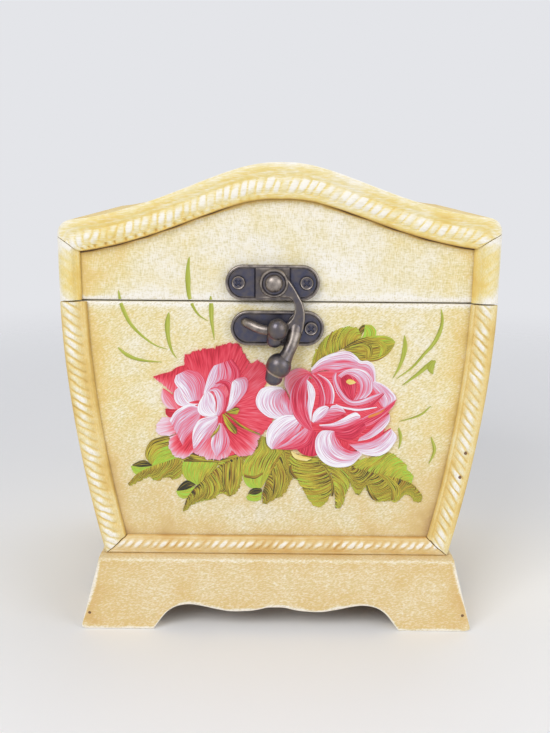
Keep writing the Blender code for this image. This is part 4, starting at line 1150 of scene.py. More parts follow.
        # The roof's section is carried along the depth.
        outer, inner = (
            upright(self.roof_path(self.roof_points, inset)[:, None], depths)
            for inset in (0.0, self.roof_thickness)
        )
        make_piece(
            "roof_board", self.worn(outer, inner, 21, 0.3), BENT_PAINT, Body.LID, Slot.CREAM, ("lid_roof",))


# Carved mouldings


class Carving(Enum):
    """The kinds of carved moulding on the front."""

    LID = "lid"
    LEFT = "left"
    RIGHT = "right"
    BOTTOM = "bottom"
    PLAIN = "plain"


@dataclass(frozen=True)
class CarvingSizes:
    """A carved moulding's section and its rope.

    profile_shares give the height at shares of the width, from the outer edge to the inner one, as
    shares of the moulding's full height. The rope lies between two shares of the width.
    """

    profile_shares: tuple
    rope_from: float = 0.0
    rope_to: float = 1.0
    pitch: float = 3.3 * MM
    # How many pitches a strand moves along the moulding on its way from the outer to the inner edge.
    twist: float = 1.4
    depth: float = 0.9 * MM
    # How white the strands are rubbed, the share of the width where they are whitest, and how far
    # that reaches.
    rub: float = 1.0
    rub_at: float = 0.5
    rub_reach: float = 0.25
    # How far strands differ in where they are whitest, as a share of the width.
    drift: float = 0.05
    # Share of a strand's breadth, from the groove on, that rubbing hasn't reached.
    unrubbed: float = 0.25
    # How much glaze the hollows between the strands hold.
    hollow: float = 0.4
    # Depth of the row of small beads along the inner edge, if it has one.
    beads: float = 0.0
    # How dark the line along the inner edge is, painted shadow in the joint and a split in the paint,
    # and how dark the painted shade on the slope beside it.
    shadow_and_crack_line: float = 1.5
    under: float = 0.25
    # How white its outer edge is rubbed; below zero it paints shade on that edge where it turns
    # away. How white its ends are rubbed.
    edge_rub_and_shade: float = 0.9
    end_rub: float = 0.7
    # A stretch that is rubbed whiter: its middle and reach as shares of the length, and how much.
    whiter: tuple = (0.5, 0.1, 0.0)
    finish: PaintedBoard = CARVED_PAINT


CARVINGS = {
    Carving.LID: CarvingSizes(
        ((0.0, 0.55), (0.05, 0.72), (0.14, 0.84), (0.3, 0.8), (0.4, 0.74), (0.48, 0.86), (0.62, 1.0),
         (0.74, 0.97), (0.83, 0.86), (0.9, 0.8), (0.97, 0.7), (1.0, 0.58)),
        rope_from=0.38, rope_to=0.86, pitch=3.0 * MM, twist=1.7, depth=0.5 * MM, rub=1.35, rub_at=0.58,
        rub_reach=0.18, drift=0.08, unrubbed=0.2, hollow=0.1, beads=0.6 * MM, shadow_and_crack_line=0.6, under=0.8,
        whiter=(0.64, 0.14, 0.42), finish=CROWN_PAINT,
    ),
    Carving.LEFT: CarvingSizes(
        ((0.0, 0.5), (0.06, 0.72), (0.2, 0.93), (0.36, 1.0), (0.52, 0.93), (0.66, 0.72), (0.76, 0.46),
         (0.82, 0.36), (0.87, 0.52), (0.91, 0.55), (0.96, 0.42), (1.0, 0.14)),
        rope_from=0.02, rope_to=0.8, pitch=3.27 * MM, twist=2.2, depth=0.75 * MM, rub=1.5, rub_at=0.38,
        # Its outer edge carries painted shade where it turns away, instead of being rubbed white.
        rub_reach=0.22, hollow=0.42, shadow_and_crack_line=0.35, edge_rub_and_shade=-0.5,
    ),
    Carving.BOTTOM: CarvingSizes(
        ((0.0, 0.55), (0.07, 0.72), (0.2, 0.8), (0.38, 0.93), (0.6, 1.0), (0.76, 0.86), (0.88, 0.55),
         (0.95, 0.4), (1.0, 0.16)),
        rope_from=0.24, rope_to=0.88, pitch=3.2 * MM, twist=1.7, depth=0.7 * MM, rub=1.9, rub_at=0.6,
        rub_reach=0.17, drift=0.03, unrubbed=0.42, hollow=0.14, shadow_and_crack_line=0.35, end_rub=0.3,
        finish=PLINTH_TRIM_PAINT,
    ),
    Carving.PLAIN: CarvingSizes(
        ((0.0, 0.5), (0.08, 0.72), (0.25, 0.95), (0.5, 1.0), (0.68, 0.84), (0.78, 0.56), (0.86, 0.44),
         (0.94, 0.34), (1.0, 0.14)),
        rope_to=0.75, twist=1.8, depth=0.14 * MM, rub=0.22, rub_at=0.4, hollow=0.06, shadow_and_crack_line=0.45,
        end_rub=2.8, finish=ENDS_PAINT,
    ),
}
# On the right the rope lies further in, and leaves a plain band along the outer edge.
CARVINGS[Carving.RIGHT] = replace(
    CARVINGS[Carving.LEFT],
    profile_shares=(
        (0.0, 0.5), (0.05, 0.7), (0.14, 0.82), (0.22, 0.84), (0.36, 0.96), (0.5, 1.0), (0.64, 0.88),
        (0.75, 0.6), (0.82, 0.38), (0.87, 0.52), (0.91, 0.55), (0.96, 0.42), (1.0, 0.14)),
    rope_from=0.2, rope_to=0.82, twist=2.6, rub=1.3, rub_at=0.5, rub_reach=0.2, drift=0.07, hollow=0.3,
    shadow_and_crack_line=0.15,
)


@dataclass
class Mouldings:
    """The carved and plain mouldings that frame the front of the body and the lid."""

    carcass: Carcass
    step_across: float = 0.3 * MM
    # Points along the crown's moulding, a lid end's, a body side's and the bottom's.
    crown_points: int = 640
    end_points: int = 110
    side_points: int = 380
    bottom_points: int = 480
    # Points of the flared edge before it is read evenly, and how many strands differ from each other.
    flare_points: int = 200
    strands: int = 200
    # The rows of beads: their pitch, and the share of the width where they lie.
    bead_pitch: float = 3.5 * MM
    bead_at: float = 0.91
    # How sharply a strand is rounded: the power of a sine wave.
    roundness: float = 0.55

    def board(
        self, name: str, outer_rail: np.ndarray, inner_rail: np.ndarray, kind: Carving,
        body: Body, node: str, slant: int = 1, seed: int = 0,
    ) -> None:
        """Makes one moulding between its outer and inner rails.

        Its height is the section's height less the rope's grooves. A groove lies where the
        strand's phase is whole: distance along over pitch, plus the twist times the share across.
        The distance along is a point's own, measured on the moulding's middle line.

        Args:
            name: the piece's name.
            outer_rail: rows of (x, z) along its outer edge.
            inner_rail: rows of (x, z) along its inner edge, as many.
            kind: which carving it has.
            body: the body that it rides on.
            node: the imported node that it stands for.
            slant: which way the strands lean, 1 or -1.
            seed: which uneven lines its hand work follows.
        """
        sizes = CARVINGS[kind]
        base = self.carcass.panel - self.carcass.gap
        width = float(np.linalg.norm(inner_rail - outer_rail, axis=1).mean())
        shares = edge_places(width, self.step_across, 0.5 * MM)
        from_outer, to_inner = shares * width, (1 - shares) * width
        flat = ruled(outer_rail, inner_rail, shares)
        middle_line = (outer_rail + inner_rail) / 2
        along = lengths_along(middle_line)[:, None]
        share_along = along / along[-1]
        ahead = ((flat - middle_line[:, None]) * heading(middle_line)[:, None]).sum(axis=-1)
        uneven_step = 0.12 * waves(along, 11 * MM, seed) + 0.05 * waves(along, 3.7 * MM, seed + 4)
        place = along + ahead + sizes.pitch * uneven_step
        phase = place / sizes.pitch + slant * sizes.twist * shares
        sweep = np.abs(np.sin(math.pi * phase))
        middle, reach = (sizes.rope_from + sizes.rope_to) / 2, (sizes.rope_to - sizes.rope_from) / 2
        window = clipped((1 - np.abs(shares - middle) / reach) * 5)
        uneven = 0.85 + 0.15 * waves(along, 31 * MM, seed + 1)
        bead = np.abs(np.sin(math.pi * (place / self.bead_pitch + 0.2)))
        # The beads lie on the left part of the moulding only.
        beaded = clipped(2.2 - np.abs(shares - self.bead_at) / 0.03) * clipped(1.6 - 3 * share_along)
        beaded = beaded * (sizes.beads > 0)
        height = (
            (base - self.carcass.front) * smooth_shares(sizes.profile_shares, shares)
            - sizes.depth * uneven * window * (1 - sweep**self.roundness)
            - sizes.beads * beaded * (1 - bead)
        )
        patches = 0.6 * waves(along, 23 * MM, seed + 2) + 0.4 * waves(along, 5.3 * MM, seed + 3)
        # Each strand is rubbed by a share of its own, and at a place of its own.
        draws = np.random.default_rng(seed)
        own = draws.uniform(0.45, 1.3, self.strands)
        shift = draws.uniform(-sizes.drift, sizes.drift, self.strands)
        strand = np.floor(phase).astype(int) % self.strands
        crest = bump_of(shares - shift[strand], sizes.rub_at, sizes.rub_reach)
        blob = clipped((sweep - sizes.unrubbed) / 0.55) * own[strand]
        # Long pale brush marks follow the moulding where it has no rope.
        marks = waves(from_outer + 0.5 * MM * waves(along, 70 * MM, seed + 5), 2.3 * MM, seed + 6)
        middle, reach, more = sizes.whiter
        ends = glaze(np.minimum(along, along[-1] - along), 3 * MM) * (1 - shares)
        # Along the inner edge the tone paints shade on the slope, and a dark line that is painted shadow in
        # the joint and a split in the paint; a rub below zero paints shade on the outer edge.
        tone = (
            -0.08 + window * sizes.rub * (1.0 + 0.75 * patches) * crest * blob
            - window * sizes.hollow * clipped(1 - sweep / 0.4)
            + beaded * (0.5 * bead - 1.1 * (1 - bead) ** 2) + 0.28 * (1 - window) * marks
            + sizes.edge_rub_and_shade * glaze(from_outer, 0.6 * MM) - sizes.under * glaze(to_inner, 0.8 * MM)
            - sizes.shadow_and_crack_line * clipped(1.4 - to_inner / (0.3 * MM)) * (1.0 + 0.6 * patches)
            + more * bump_of(share_along, middle, reach) + sizes.end_rub * ends
        )
        shape = slab(upright(flat, base - height), upright(flat, base), tone)
        make_piece(name, shape, sizes.finish, body, Slot.RUBBED, (node,), 50.0)

    def build(self) -> None:
        """Makes the six mouldings."""
        chest = self.carcass
        bands = (chest.half_top - chest.end_band_left, chest.half_top - chest.end_band_right)
        across = np.linspace(-bands[0], bands[1], self.crown_points)
        inner = respaced(np.column_stack([across, chest.lid_band(across)]), self.crown_points)
        outer = chest.roof_path(self.crown_points)
        self.board("lid_top_carving", outer, inner, Carving.LID, Body.LID, "lid_moulding_top", 1, 31)
        # Height and inset of the body mouldings' outer and inner edges where they meet.
        corners = ((chest.body_low, 0.0), (chest.body_low + chest.bottom_band, chest.side_band))
        for (side, word), within in zip(SIDES, bands):
            node = f"lid_moulding_{word}"
            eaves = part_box(node)[1].z
            mitre = float(chest.lid_band(side * within)) - chest.gap
            outer, inner = (
                line((side * reach, chest.lid_low), (side * reach, top), self.end_points)
                for reach, top in ((chest.half_top, eaves), (within, mitre))
            )
            self.board(f"lid_{word}_moulding", outer, inner, Carving.PLAIN, Body.LID, node, 1, 37 + side)
        for (side, word), kind in zip(SIDES, (Carving.LEFT, Carving.RIGHT)):
            rails = (self.flare(low, inset, side) for low, inset in corners)
            node = f"body_moulding_{word}"
            self.board(f"body_{word}_carving", *rails, kind, Body.CHEST, node, -side, 41 + side)
        rails = []
        for height, inset in corners:
            reach = float(chest.half_width(height)) - inset - 2 * chest.gap
            rails.append(line((-reach, height), (reach, height), self.bottom_points))
        node = "body_moulding_bottom"
        self.board("body_bottom_carving", *rails, Carving.BOTTOM, Body.CHEST, node, -1, 47)

    def flare(self, low: float, inset: float, side: int) -> np.ndarray:
        """The body's edge from a height up to the seam, set in by a distance."""
        heights = np.linspace(low, self.carcass.body_high, self.flare_points)
        path = np.column_stack([side * (self.carcass.half_width(heights) - inset), heights])
        return respaced(path, self.side_points)


# Plinth


@dataclass
class Plinth:
    """The scalloped aprons of the plinth, rubbed white all round their edges."""

    carcass: Carcass
    splay: float = 7.9 * MM
    foot_width: float = 27.6 * MM
    scallop: float = 10.3 * MM
    foot_round: float = 2.2 * MM
    apron_thickness: float = 6.0 * MM
    side_thickness: float = 5.0 * MM
    edge_radius: float = 0.65 * MM
    # Points of half the scalloped edge as it is drawn, and of the whole edge read evenly.
    scallop_points: int = 90
    rail_points: int = 420
    grid_step: float = 0.9 * MM
    # Share of the arch's half width from its middle, and share of the scallop's height.
    scallop_shares: tuple = (
        (0.0, 0.9), (0.065, 0.89), (0.13, 0.82), (0.19, 0.765), (0.255, 0.74), (0.32, 0.725),
        (0.385, 0.735), (0.45, 0.785), (0.51, 0.84), (0.575, 0.91), (0.64, 0.97), (0.705, 1.0),
        (0.77, 0.965), (0.835, 0.86), (0.895, 0.65), (0.95, 0.33), (1.0, 0.0),
    )

    def flat_grid(self, half: float, arch: float, top: float, splay: float, corner: float) -> np.ndarray:
        """An apron's grid, laid flat: a lower edge of foot, scallops and foot, and a straight top.

        Args:
            half: half the apron's length at the floor.
            arch: half the arch's width.
            top: its height.
            splay: how far its ends lean in on the way to the top.
            corner: the radius of the feet's outer corners, or zero.

        Returns:
            The grid of (along, height).
        """
        shares = np.linspace(0, 1, self.scallop_points)
        curve = np.column_stack([arch * shares, self.scallop * smooth_shares(self.scallop_shares, shares)])
        foot = [(half, 0.0)]
        if corner:
            lean = splay / top
            foot = [(half - corner, 0.0), (half - corner / 4, corner / 4), (half - lean * corner, corner)]
        right = np.vstack([curve, foot])
        lower = respaced(np.vstack([right[::-1] * (-1, 1), right[1:]]), self.rail_points)
        upper = line((splay - half, top), (half - splay, top), self.rail_points)
        return ruled(lower, upper, edge_places(top, self.grid_step, self.edge_radius))

    def build(self) -> None:
        """Makes the four aprons."""
        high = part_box("base_front")[1]
        half, top = high.x, high.z
        flat = self.flat_grid(half, half - self.foot_width, top, self.splay, self.foot_round)
        for word in ("front", "back"):
            near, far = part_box(f"base_{word}")
            depths = (near.y, far.y) if word == "front" else (far.y, near.y)
            self.apron(word, *(upright(flat, depth) for depth in depths), 51)
        for side, word in SIDES:
            near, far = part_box(f"base_{word}")
            reach = (far.y - near.y) / 2
            arch = reach + self.apron_thickness + self.carcass.gap - self.foot_width
            flat = self.flat_grid(reach, arch, top, 0.0, 0.0)
            y, z = (near.y + far.y) / 2 + flat[..., 0], flat[..., 1]
            outer = np.stack([side * (half - self.splay / top * z), y, z], axis=-1)
            self.apron(word, outer, outer - (side * self.side_thickness, 0, 0), 55 + side)

    def apron(self, word: str, outer: np.ndarray, inner: np.ndarray, seed: int) -> None:
        """Makes one apron, rubbed white on its rounded borders.

        Args:
            word: which side of the plinth it is on.
            outer: its outer grid.
            inner: its inner grid.
            seed: which uneven line its wear follows.
        """
        x, y, z = np.moveaxis(outer, -1, 0)
        away = border_distance(outer)
        rub = (0.8 + 0.4 * waves(x + y, 19 * MM, seed)) * MM
        to_end = np.abs(x).max() - np.abs(x)
        # The upper edge is rubbed less than the lower one.
        white = clipped(1.7 - away / rub) * (1 - 0.75 * (z / z.max()) ** 8)
        corner = bump_of(to_end, 0, 3.2 * MM) * bump_of(z, 0, 3.2 * MM)
        tone = (
            0.12 - 0.45 * glaze(to_end, 14 * MM) - 0.3 * glaze(away, 6 * MM)
            + 1.9 * np.maximum(white, 0.6 * corner)
        )
        shape = slab(rounded(outer, inner, self.edge_radius), inner, tone)
        make_piece(f"plinth_{word}_apron", shape, BASE_PAINT, Body.CHEST, Slot.RUBBED, (f"base_{word}",))


# Latch


@dataclass(frozen=True)
class Acorn:
    """A ball cut off at a bright rim, with a narrower round-ended nub out of it, in mm.

    cup_axis and nub_axis are the directions of the ball's cut side and of the nub, and shift is
    where the nub's line starts from the ball's middle.
    """

    radius: float
    nub: float
    reach: float
    stretch: float
    cup_axis: tuple
    nub_axis: tuple
    shift: tuple

    def shape(self, centre: np.ndarray) -> Shape:
        """Both solids: a circle's arc turned round one axis, and a round-ended bar along the other."""
        turn = np.linspace(0.02, 0.72, 26) * math.pi
        ball = np.column_stack([np.sin(turn), -np.cos(turn) * self.stretch]) * self.radius
        wide, high = ball[-1]
        cup = np.vstack([ball, [(wide * 0.98, high + 0.2), (wide * 0.6, high + 0.15)]]) * MM
        # The rim carries a painted highlight; the cut face inside it, and the nub below, are painted darker
        # as shade.
        cup_tone = np.concatenate([np.full(len(ball) - 3, -0.08), [0.3, 0.9, 1.1, 0.5, -0.6]])
        down = np.linspace(0.0, 0.48, 10) * math.pi
        end = self.nub * 0.9
        bar = np.vstack([
            [(self.nub * 0.5, 0.0), (self.nub * 0.97, 0.6)],
            np.column_stack([self.nub * np.cos(down), self.reach - end + end * np.sin(down)]),
        ]) * MM
        return (
            turned(cup, cup_tone, centre, self.cup_axis)
            + turned(bar, np.full(len(bar), -0.25), centre + np.array(self.shift) * MM, self.nub_axis)
        )


@dataclass
class Latch:
    """The swing-arm hook, its two plates, screws, rivet and fixed horn."""

    carcass: Carcass
    pivot: np.ndarray
    rim: float = 1.1 * MM
    pocket: float = 1.0 * MM
    land: float = 6.2 * MM
    plate_bevel: float = 0.45 * MM
    arm_thickness: float = 2.2 * MM
    arm_back: float = 2.6 * MM
    arm_bevel: float = 0.85 * MM
    rivet_radius: float = 3.15 * MM
    rivet_rise: float = 2.1 * MM
    rivet_shank: float = 1.5 * MM
    # Length and half width of the bars of a screw's cross, and their depth.
    cross_arm: float = 1.35 * MM
    cross_half: float = 0.3 * MM
    cross_depth: float = 0.55 * MM
    knob: Acorn = Acorn(4.45, 3.1, 7.4, 1.02, (-0.55, 0.2, -1.0), (-0.12, 0.15, -1.0), (-1.15, 0.0, 0.0))
    cap: Acorn = Acorn(3.65, 2.8, 6.7, 1.12, (-0.12, 0.42, -1.0), (-0.06, 0.25, -1.0), (-0.8, 0.5, 0.0))
    # Points round each end of a plate and rings over its face, and the same for a screw.
    plate_end_points: int = 61
    plate_rings: int = 34
    screw_points: int = 96
    screw_rings: int = 26
    # Points of the arm's edges, of a rod and of the rivet's dome, and the arm's width and grid step.
    arm_points: int = 150
    rod_points: int = 60
    dome_points: int = 16
    arm_width: float = 6 * MM
    arm_step: float = 0.5 * MM
    # The knob's middle from the pivot: right, forward and down.
    knob_right: float = 1.9 * MM
    knob_forward: float = 3.8 * MM
    knob_down: float = 28.7 * MM
    # Outer and inner edges of the arm from the pivot, in mm right and up.
    arm_outer_mm: tuple = (
        (-1.2, 4.95), (1.2, 4.95), (2.7, 4.2), (4.0, 2.8), (5.5, 0.8), (7.1, -1.5), (8.8, -4.4),
        (10.2, -7.0), (10.9, -9.7), (11.05, -11.9), (10.85, -14.2), (10.45, -16.6), (9.7, -18.7),
        (8.7, -19.6),
    )
    arm_inner_mm: tuple = (
        (-1.2, -4.95), (0.6, -5.0), (2.2, -5.02), (3.6, -5.05), (4.8, -5.15), (5.9, -5.6), (6.8, -6.6),
        (7.3, -8.2), (7.3, -9.9), (6.8, -11.6), (5.8, -13.1), (4.6, -14.4), (4.5, -15.8), (5.2, -17.6),
    )
    # Half section of the eye, in mm out from its axis and forward, and each row's tone.
    eye_mm: tuple = (
        (1.9, 0.0), (5.0, 0.0), (5.1, 0.2), (5.1, 2.1), (4.95, 2.55), (4.62, 2.8), (4.25, 2.75),
        (4.0, 2.5), (3.8, 2.3), (3.5, 2.28), (3.1, 2.28), (1.9, 2.28),
    )
    eye_tone: tuple = (0, 0, 0, 0.05, 0.3, 0.4, 0.1, -0.1, -0.3, -0.2, -0.15, -0.3)
    # The rod's middle line from the pivot, in mm right, forward and up, with its radius.
    rod_mm: tuple = (
        (8.1, -2.0, -11.0, 1.2), (8.1, -2.0, -12.8, 2.5), (7.9, -1.8, -14.6, 2.85),
        (7.65, -1.2, -16.3, 2.9), (7.25, -0.2, -18.1, 2.8), (6.7, 0.9, -20.0, 2.6),
        (6.0, 2.0, -22.1, 2.4), (5.0, 3.0, -24.3, 2.3), (3.7, 3.8, -26.6, 2.9),
    )
    # What is left of the rod's depth behind the arm's back, where it is pressed nearly flat.
    pressed: float = 0.07
    # The horn's finger from the middle of the lower plate's face, in mm right, forward and up, with
    # its radius.
    horn_mm: tuple = (
        (-11.9, -0.9, 2.3, 1.25), (-11.2, 0.3, 2.15, 1.6), (-9.6, 1.7, 1.7, 1.72),
        (-7.2, 3.0, 0.85, 1.7), (-4.4, 4.0, 0.2, 1.65), (0.0, 4.4, 0.0, 1.6),
    )

    def plate(self, node: str, parted: bool) -> Shape:
        """A plate with round ends, a raised rim and sunk pockets.

        Rings run at falling distances from the middle line, from the back edge round the rim to the
        middle. The height is the rim's or the land's, and the pocket's floor elsewhere.

        Args:
            node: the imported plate.
            parted: whether a raised land parts the pocket in two.

        Returns:
            The plate.
        """
        low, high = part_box(node)
        centre_x, centre_z = middle_of(node)
        radius = (high.z - low.z) / 2
        reach = (high.x - low.x) / 2 - radius
        turn = np.linspace(-math.pi / 2, math.pi / 2, self.plate_end_points)
        side = np.linspace(reach, -reach, len(turn))[1:-1]
        upwards = np.full_like(side, math.pi / 2)
        bases = np.concatenate([np.full_like(turn, reach), side, np.full_like(turn, -reach), -side])
        angles = np.concatenate([turn, upwards, turn + math.pi, -upwards])
        bevel = self.plate_bevel
        outwards = np.concatenate([
            [radius, radius], radius - bevel * np.array([0.12, 0.4, 1.0]),
            np.linspace(radius - bevel - 0.1 * MM, 0, self.plate_rings),
        ])[:, None]
        x = bases + outwards * np.cos(angles)
        z = outwards * np.sin(angles)
        rim = clipped((outwards - (radius - self.rim)) / (0.3 * MM) + 0.5)
        land = clipped((self.land - np.abs(x)) / (0.3 * MM) + 0.5) * parted
        raised = np.maximum(rim, land)
        y = low.y + self.pocket * (1 - raised)
        y[0] = high.y
        y[1] = low.y + bevel
        y[2:5] += bevel * np.array([0.6, 0.25, 0.0])[:, None]
        # A thin painted highlight runs round the pocket just inside the rim, stronger in some places than
        # in others.
        worn = 0.7 + 0.5 * waves(x, 9 * MM, 61)
        tone = (
            np.where(raised > 0.5, 0.0, -0.45)
            + 0.55 * clipped(1 - np.abs(outwards - (radius - 0.3 * MM)) / (0.4 * MM))
            + 0.75 * bump_of(outwards, radius - self.rim - 0.1 * MM, 0.2 * MM) * worn
        )
        return tube(np.stack([x + centre_x, y, z + centre_z], axis=-1), tone, (0.0, -0.3))

    def screw(self, node: str) -> Shape:
        """A cross-head screw: a low dome with a raised rim and a cross sunk in its middle."""
        low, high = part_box(node)
        x, z = middle_of(node)
        turn = np.linspace(0, 2 * math.pi, self.screw_points, endpoint=False)
        face = np.linspace(0.92, 0.0, self.screw_rings)
        shares = np.concatenate([[0.36, 0.36, 1.0, 1.0, 0.97], face])[:, None]
        radii = (high.x - low.x) / 2 * shares
        ridge = bump_of(shares, 0.84, 0.08)
        depth = low.y - 0.25 * MM * (1 - shares**2) - 0.28 * MM * ridge
        depth[0] = high.y
        depth[1:3] = low.y + 0.6 * MM
        depth[3] = low.y + 0.2 * MM
        across, upward = radii * np.cos(turn + math.pi / 4), radii * np.sin(turn + math.pi / 4)
        cross = np.maximum(*(
            clipped((self.cross_arm - np.abs(a)) / (0.15 * MM))
            * clipped((self.cross_half - np.abs(b)) / (0.12 * MM) + 0.5)
            for a, b in ((across, upward), (upward, across))
        ))
        # The back, the edge and the rim's outer side have no cross.
        cross[:5] = 0
        y = depth + self.cross_depth * cross
        rings = np.stack([x + radii * np.cos(turn), y, z + radii * np.sin(turn)], axis=-1)
        # The rim's ridge carries a painted highlight, and the sunk cross painted shade.
        return tube(rings, 0.95 * ridge - 0.3 - 1.5 * cross, (0.0, -1.5))

    def rivet(self) -> Shape:
        """The domed rivet that the hook turns on."""
        low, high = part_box("latch_rivet")
        dome = np.linspace(0, math.pi / 2, self.dome_points)
        seat = high.y - low.y - self.rivet_rise
        rows = np.vstack([
            [(self.rivet_shank, 0.0), (self.rivet_shank, seat), (self.rivet_radius * 0.96, seat)],
            np.column_stack([self.rivet_radius * np.cos(dome), seat + self.rivet_rise * np.sin(dome)]),
        ])
        tone = np.concatenate([[0, 0, 0], np.linspace(0.1, 0.6, len(dome))])
        return turned(rows, tone, np.array([self.pivot[0], high.y, self.pivot[2]]), (0, -1, 0))

    def at(self, right: float, forward: float, up: float) -> np.ndarray:
        """A place given from the pivot, forward from the middle of the arm."""
        middle = self.carcass.panel - self.arm_back - self.arm_thickness / 2
        return np.array([self.pivot[0] + right, middle - forward, self.pivot[2] + up])

    def arm(self) -> Shape:
        """The flat swinging arm: a bevelled strap between its outer and inner edges."""
        first, second = (
            smooth_path(np.array(edge) * MM, self.arm_points) + self.pivot[[0, 2]]
            for edge in (self.arm_outer_mm, self.arm_inner_mm)
        )
        flat = ruled(first, second, edge_places(self.arm_width, self.arm_step, self.arm_bevel))
        inner = upright(flat, self.carcass.panel - self.arm_back)
        outer = inner - (0, self.arm_thickness, 0)
        # A painted highlight runs along the bevel, all round.
        tone = -0.08 + 0.75 * bump_of(border_distance(outer), 0.35 * MM, 0.38 * MM)
        return slab(rounded(outer, inner, self.arm_bevel), inner, tone, False)

    def eye(self) -> Shape:
        """The arm's round eye: a raised ring with a groove round the rivet's seat."""
        centre = np.array([self.pivot[0], self.carcass.panel - self.arm_back, self.pivot[2]])
        return turned(np.array(self.eye_mm) * MM, np.array(self.eye_tone), centre, (0, -1, 0))

    def rod(self) -> Shape:
        """The round rod from the arm forward and down to the knob.

        Its back is pressed nearly flat behind the arm's, so that it clears the plate and the boards
        that it swings over: depth past the arm's back counts for a small share.
        """
        table = smooth_path(np.array(self.rod_mm) * MM, self.rod_points)
        path = np.array([self.at(*row[:3]) for row in table])
        # A painted highlight lies on the rod a little past its middle.
        bar = swept(path, table[:, 3], -0.08 + 0.5 * bump_of(np.linspace(0, 1, len(path)), 0.58, 0.2))
        back = self.carcass.panel - self.arm_back - 0.1 * MM
        bar.points[:, 1] -= (1 - self.pressed) * np.clip(bar.points[:, 1] - back, 0, None)
        return bar

    def horn(self) -> Shape:
        """The fixed horn: a finger bent out of the lower plate's pocket, with an acorn end."""
        x, z = middle_of("latch_lower_plate")
        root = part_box("latch_lower_plate")[0].y
        table = smooth_path(np.array(self.horn_mm) * MM, self.rod_points)
        path = np.column_stack([x + table[:, 0], root - table[:, 1], z + table[:, 2]])
        cap = self.cap.shape(np.array([x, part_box("latch_horn")[0].y + 3.8 * MM, z + 0.5 * MM]))
        return swept(path, table[:, 3], 0.35) + cap

    def build(self) -> None:
        """Makes the latch's pieces."""
        make = partial(make_piece, finish=BRONZE, slot=Slot.BRONZE)
        for word, parted, body in (("upper", True, Body.LID), ("lower", False, Body.CHEST)):
            node = f"latch_{word}_plate"
            make(f"latch_{word}_cast_plate", self.plate(node, parted), body=body, replaces=(node,))
        for node, body in (
            ("latch_upper_screw_left", Body.LID), ("latch_upper_screw_right", Body.LID),
            ("latch_lower_screw", Body.CHEST),
        ):
            make(f"{node}_head", self.screw(node), body=body, replaces=(node,))
        make("latch_rivet_dome", self.rivet(), body=Body.LID, replaces=("latch_rivet",))
        knob = self.knob.shape(self.at(self.knob_right, self.knob_forward, -self.knob_down))
        make("hook_arm", self.arm(), body=Body.HOOK, replaces=("latch_hook",), sharp=60.0)
        make("hook_eye", self.eye(), body=Body.HOOK)
        make("hook_rod_and_knob", self.rod() + knob, body=Body.HOOK)
        make("horn_finger_and_cap", self.horn(), body=Body.CHEST, replaces=("latch_horn",))


# The painted spray


class Lay(Enum):
    """How a stroke's bristles run: along its two edges, or across from one to the other."""

    ALONG = "along"
    ACROSS = "across"


@dataclass(frozen=True)
class Stroke:
    """One stroke of a loaded flat brush.

    first and second are its edges, from the stroke's start to its end, as flat rows of x, y, x, y
    and so on in the sheet's units. loads run from the first edge to the second, and end_loads are
    those at the stroke's end. arc is how far bristles laid across bend along the stroke.
    """

    first: tuple
    second: tuple
    loads: tuple
    lay: Lay = Lay.ALONG
    end_loads: tuple = ()
    ragged_mm: float = 0.0
    arc: float = 0.0


def pairs(row: tuple) -> np.ndarray:
    """The points that a flat row of numbers gives."""
    return np.array(row, dtype=float).reshape(-1, 2)


@dataclass(frozen=True)
class Sheet:
    """A part of the front on which strokes are laid out: its corner in photo pixels and its zoom."""

    left: float
    top: float
    zoom: float

    def pixels(self, row: tuple) -> np.ndarray:
        """Points of the sheet, given as a flat row, as photo pixels."""
        return np.array([self.left, self.top]) + pairs(row) / self.zoom


ALONG = Lay.ALONG
ACROSS = Lay.ACROSS
LEFT_SHEET = Sheet(110, 330, 8.253)
RIGHT_SHEET = Sheet(230, 330, 7.84)
UPPER_SHEET = Sheet(300, 220, 8.711)

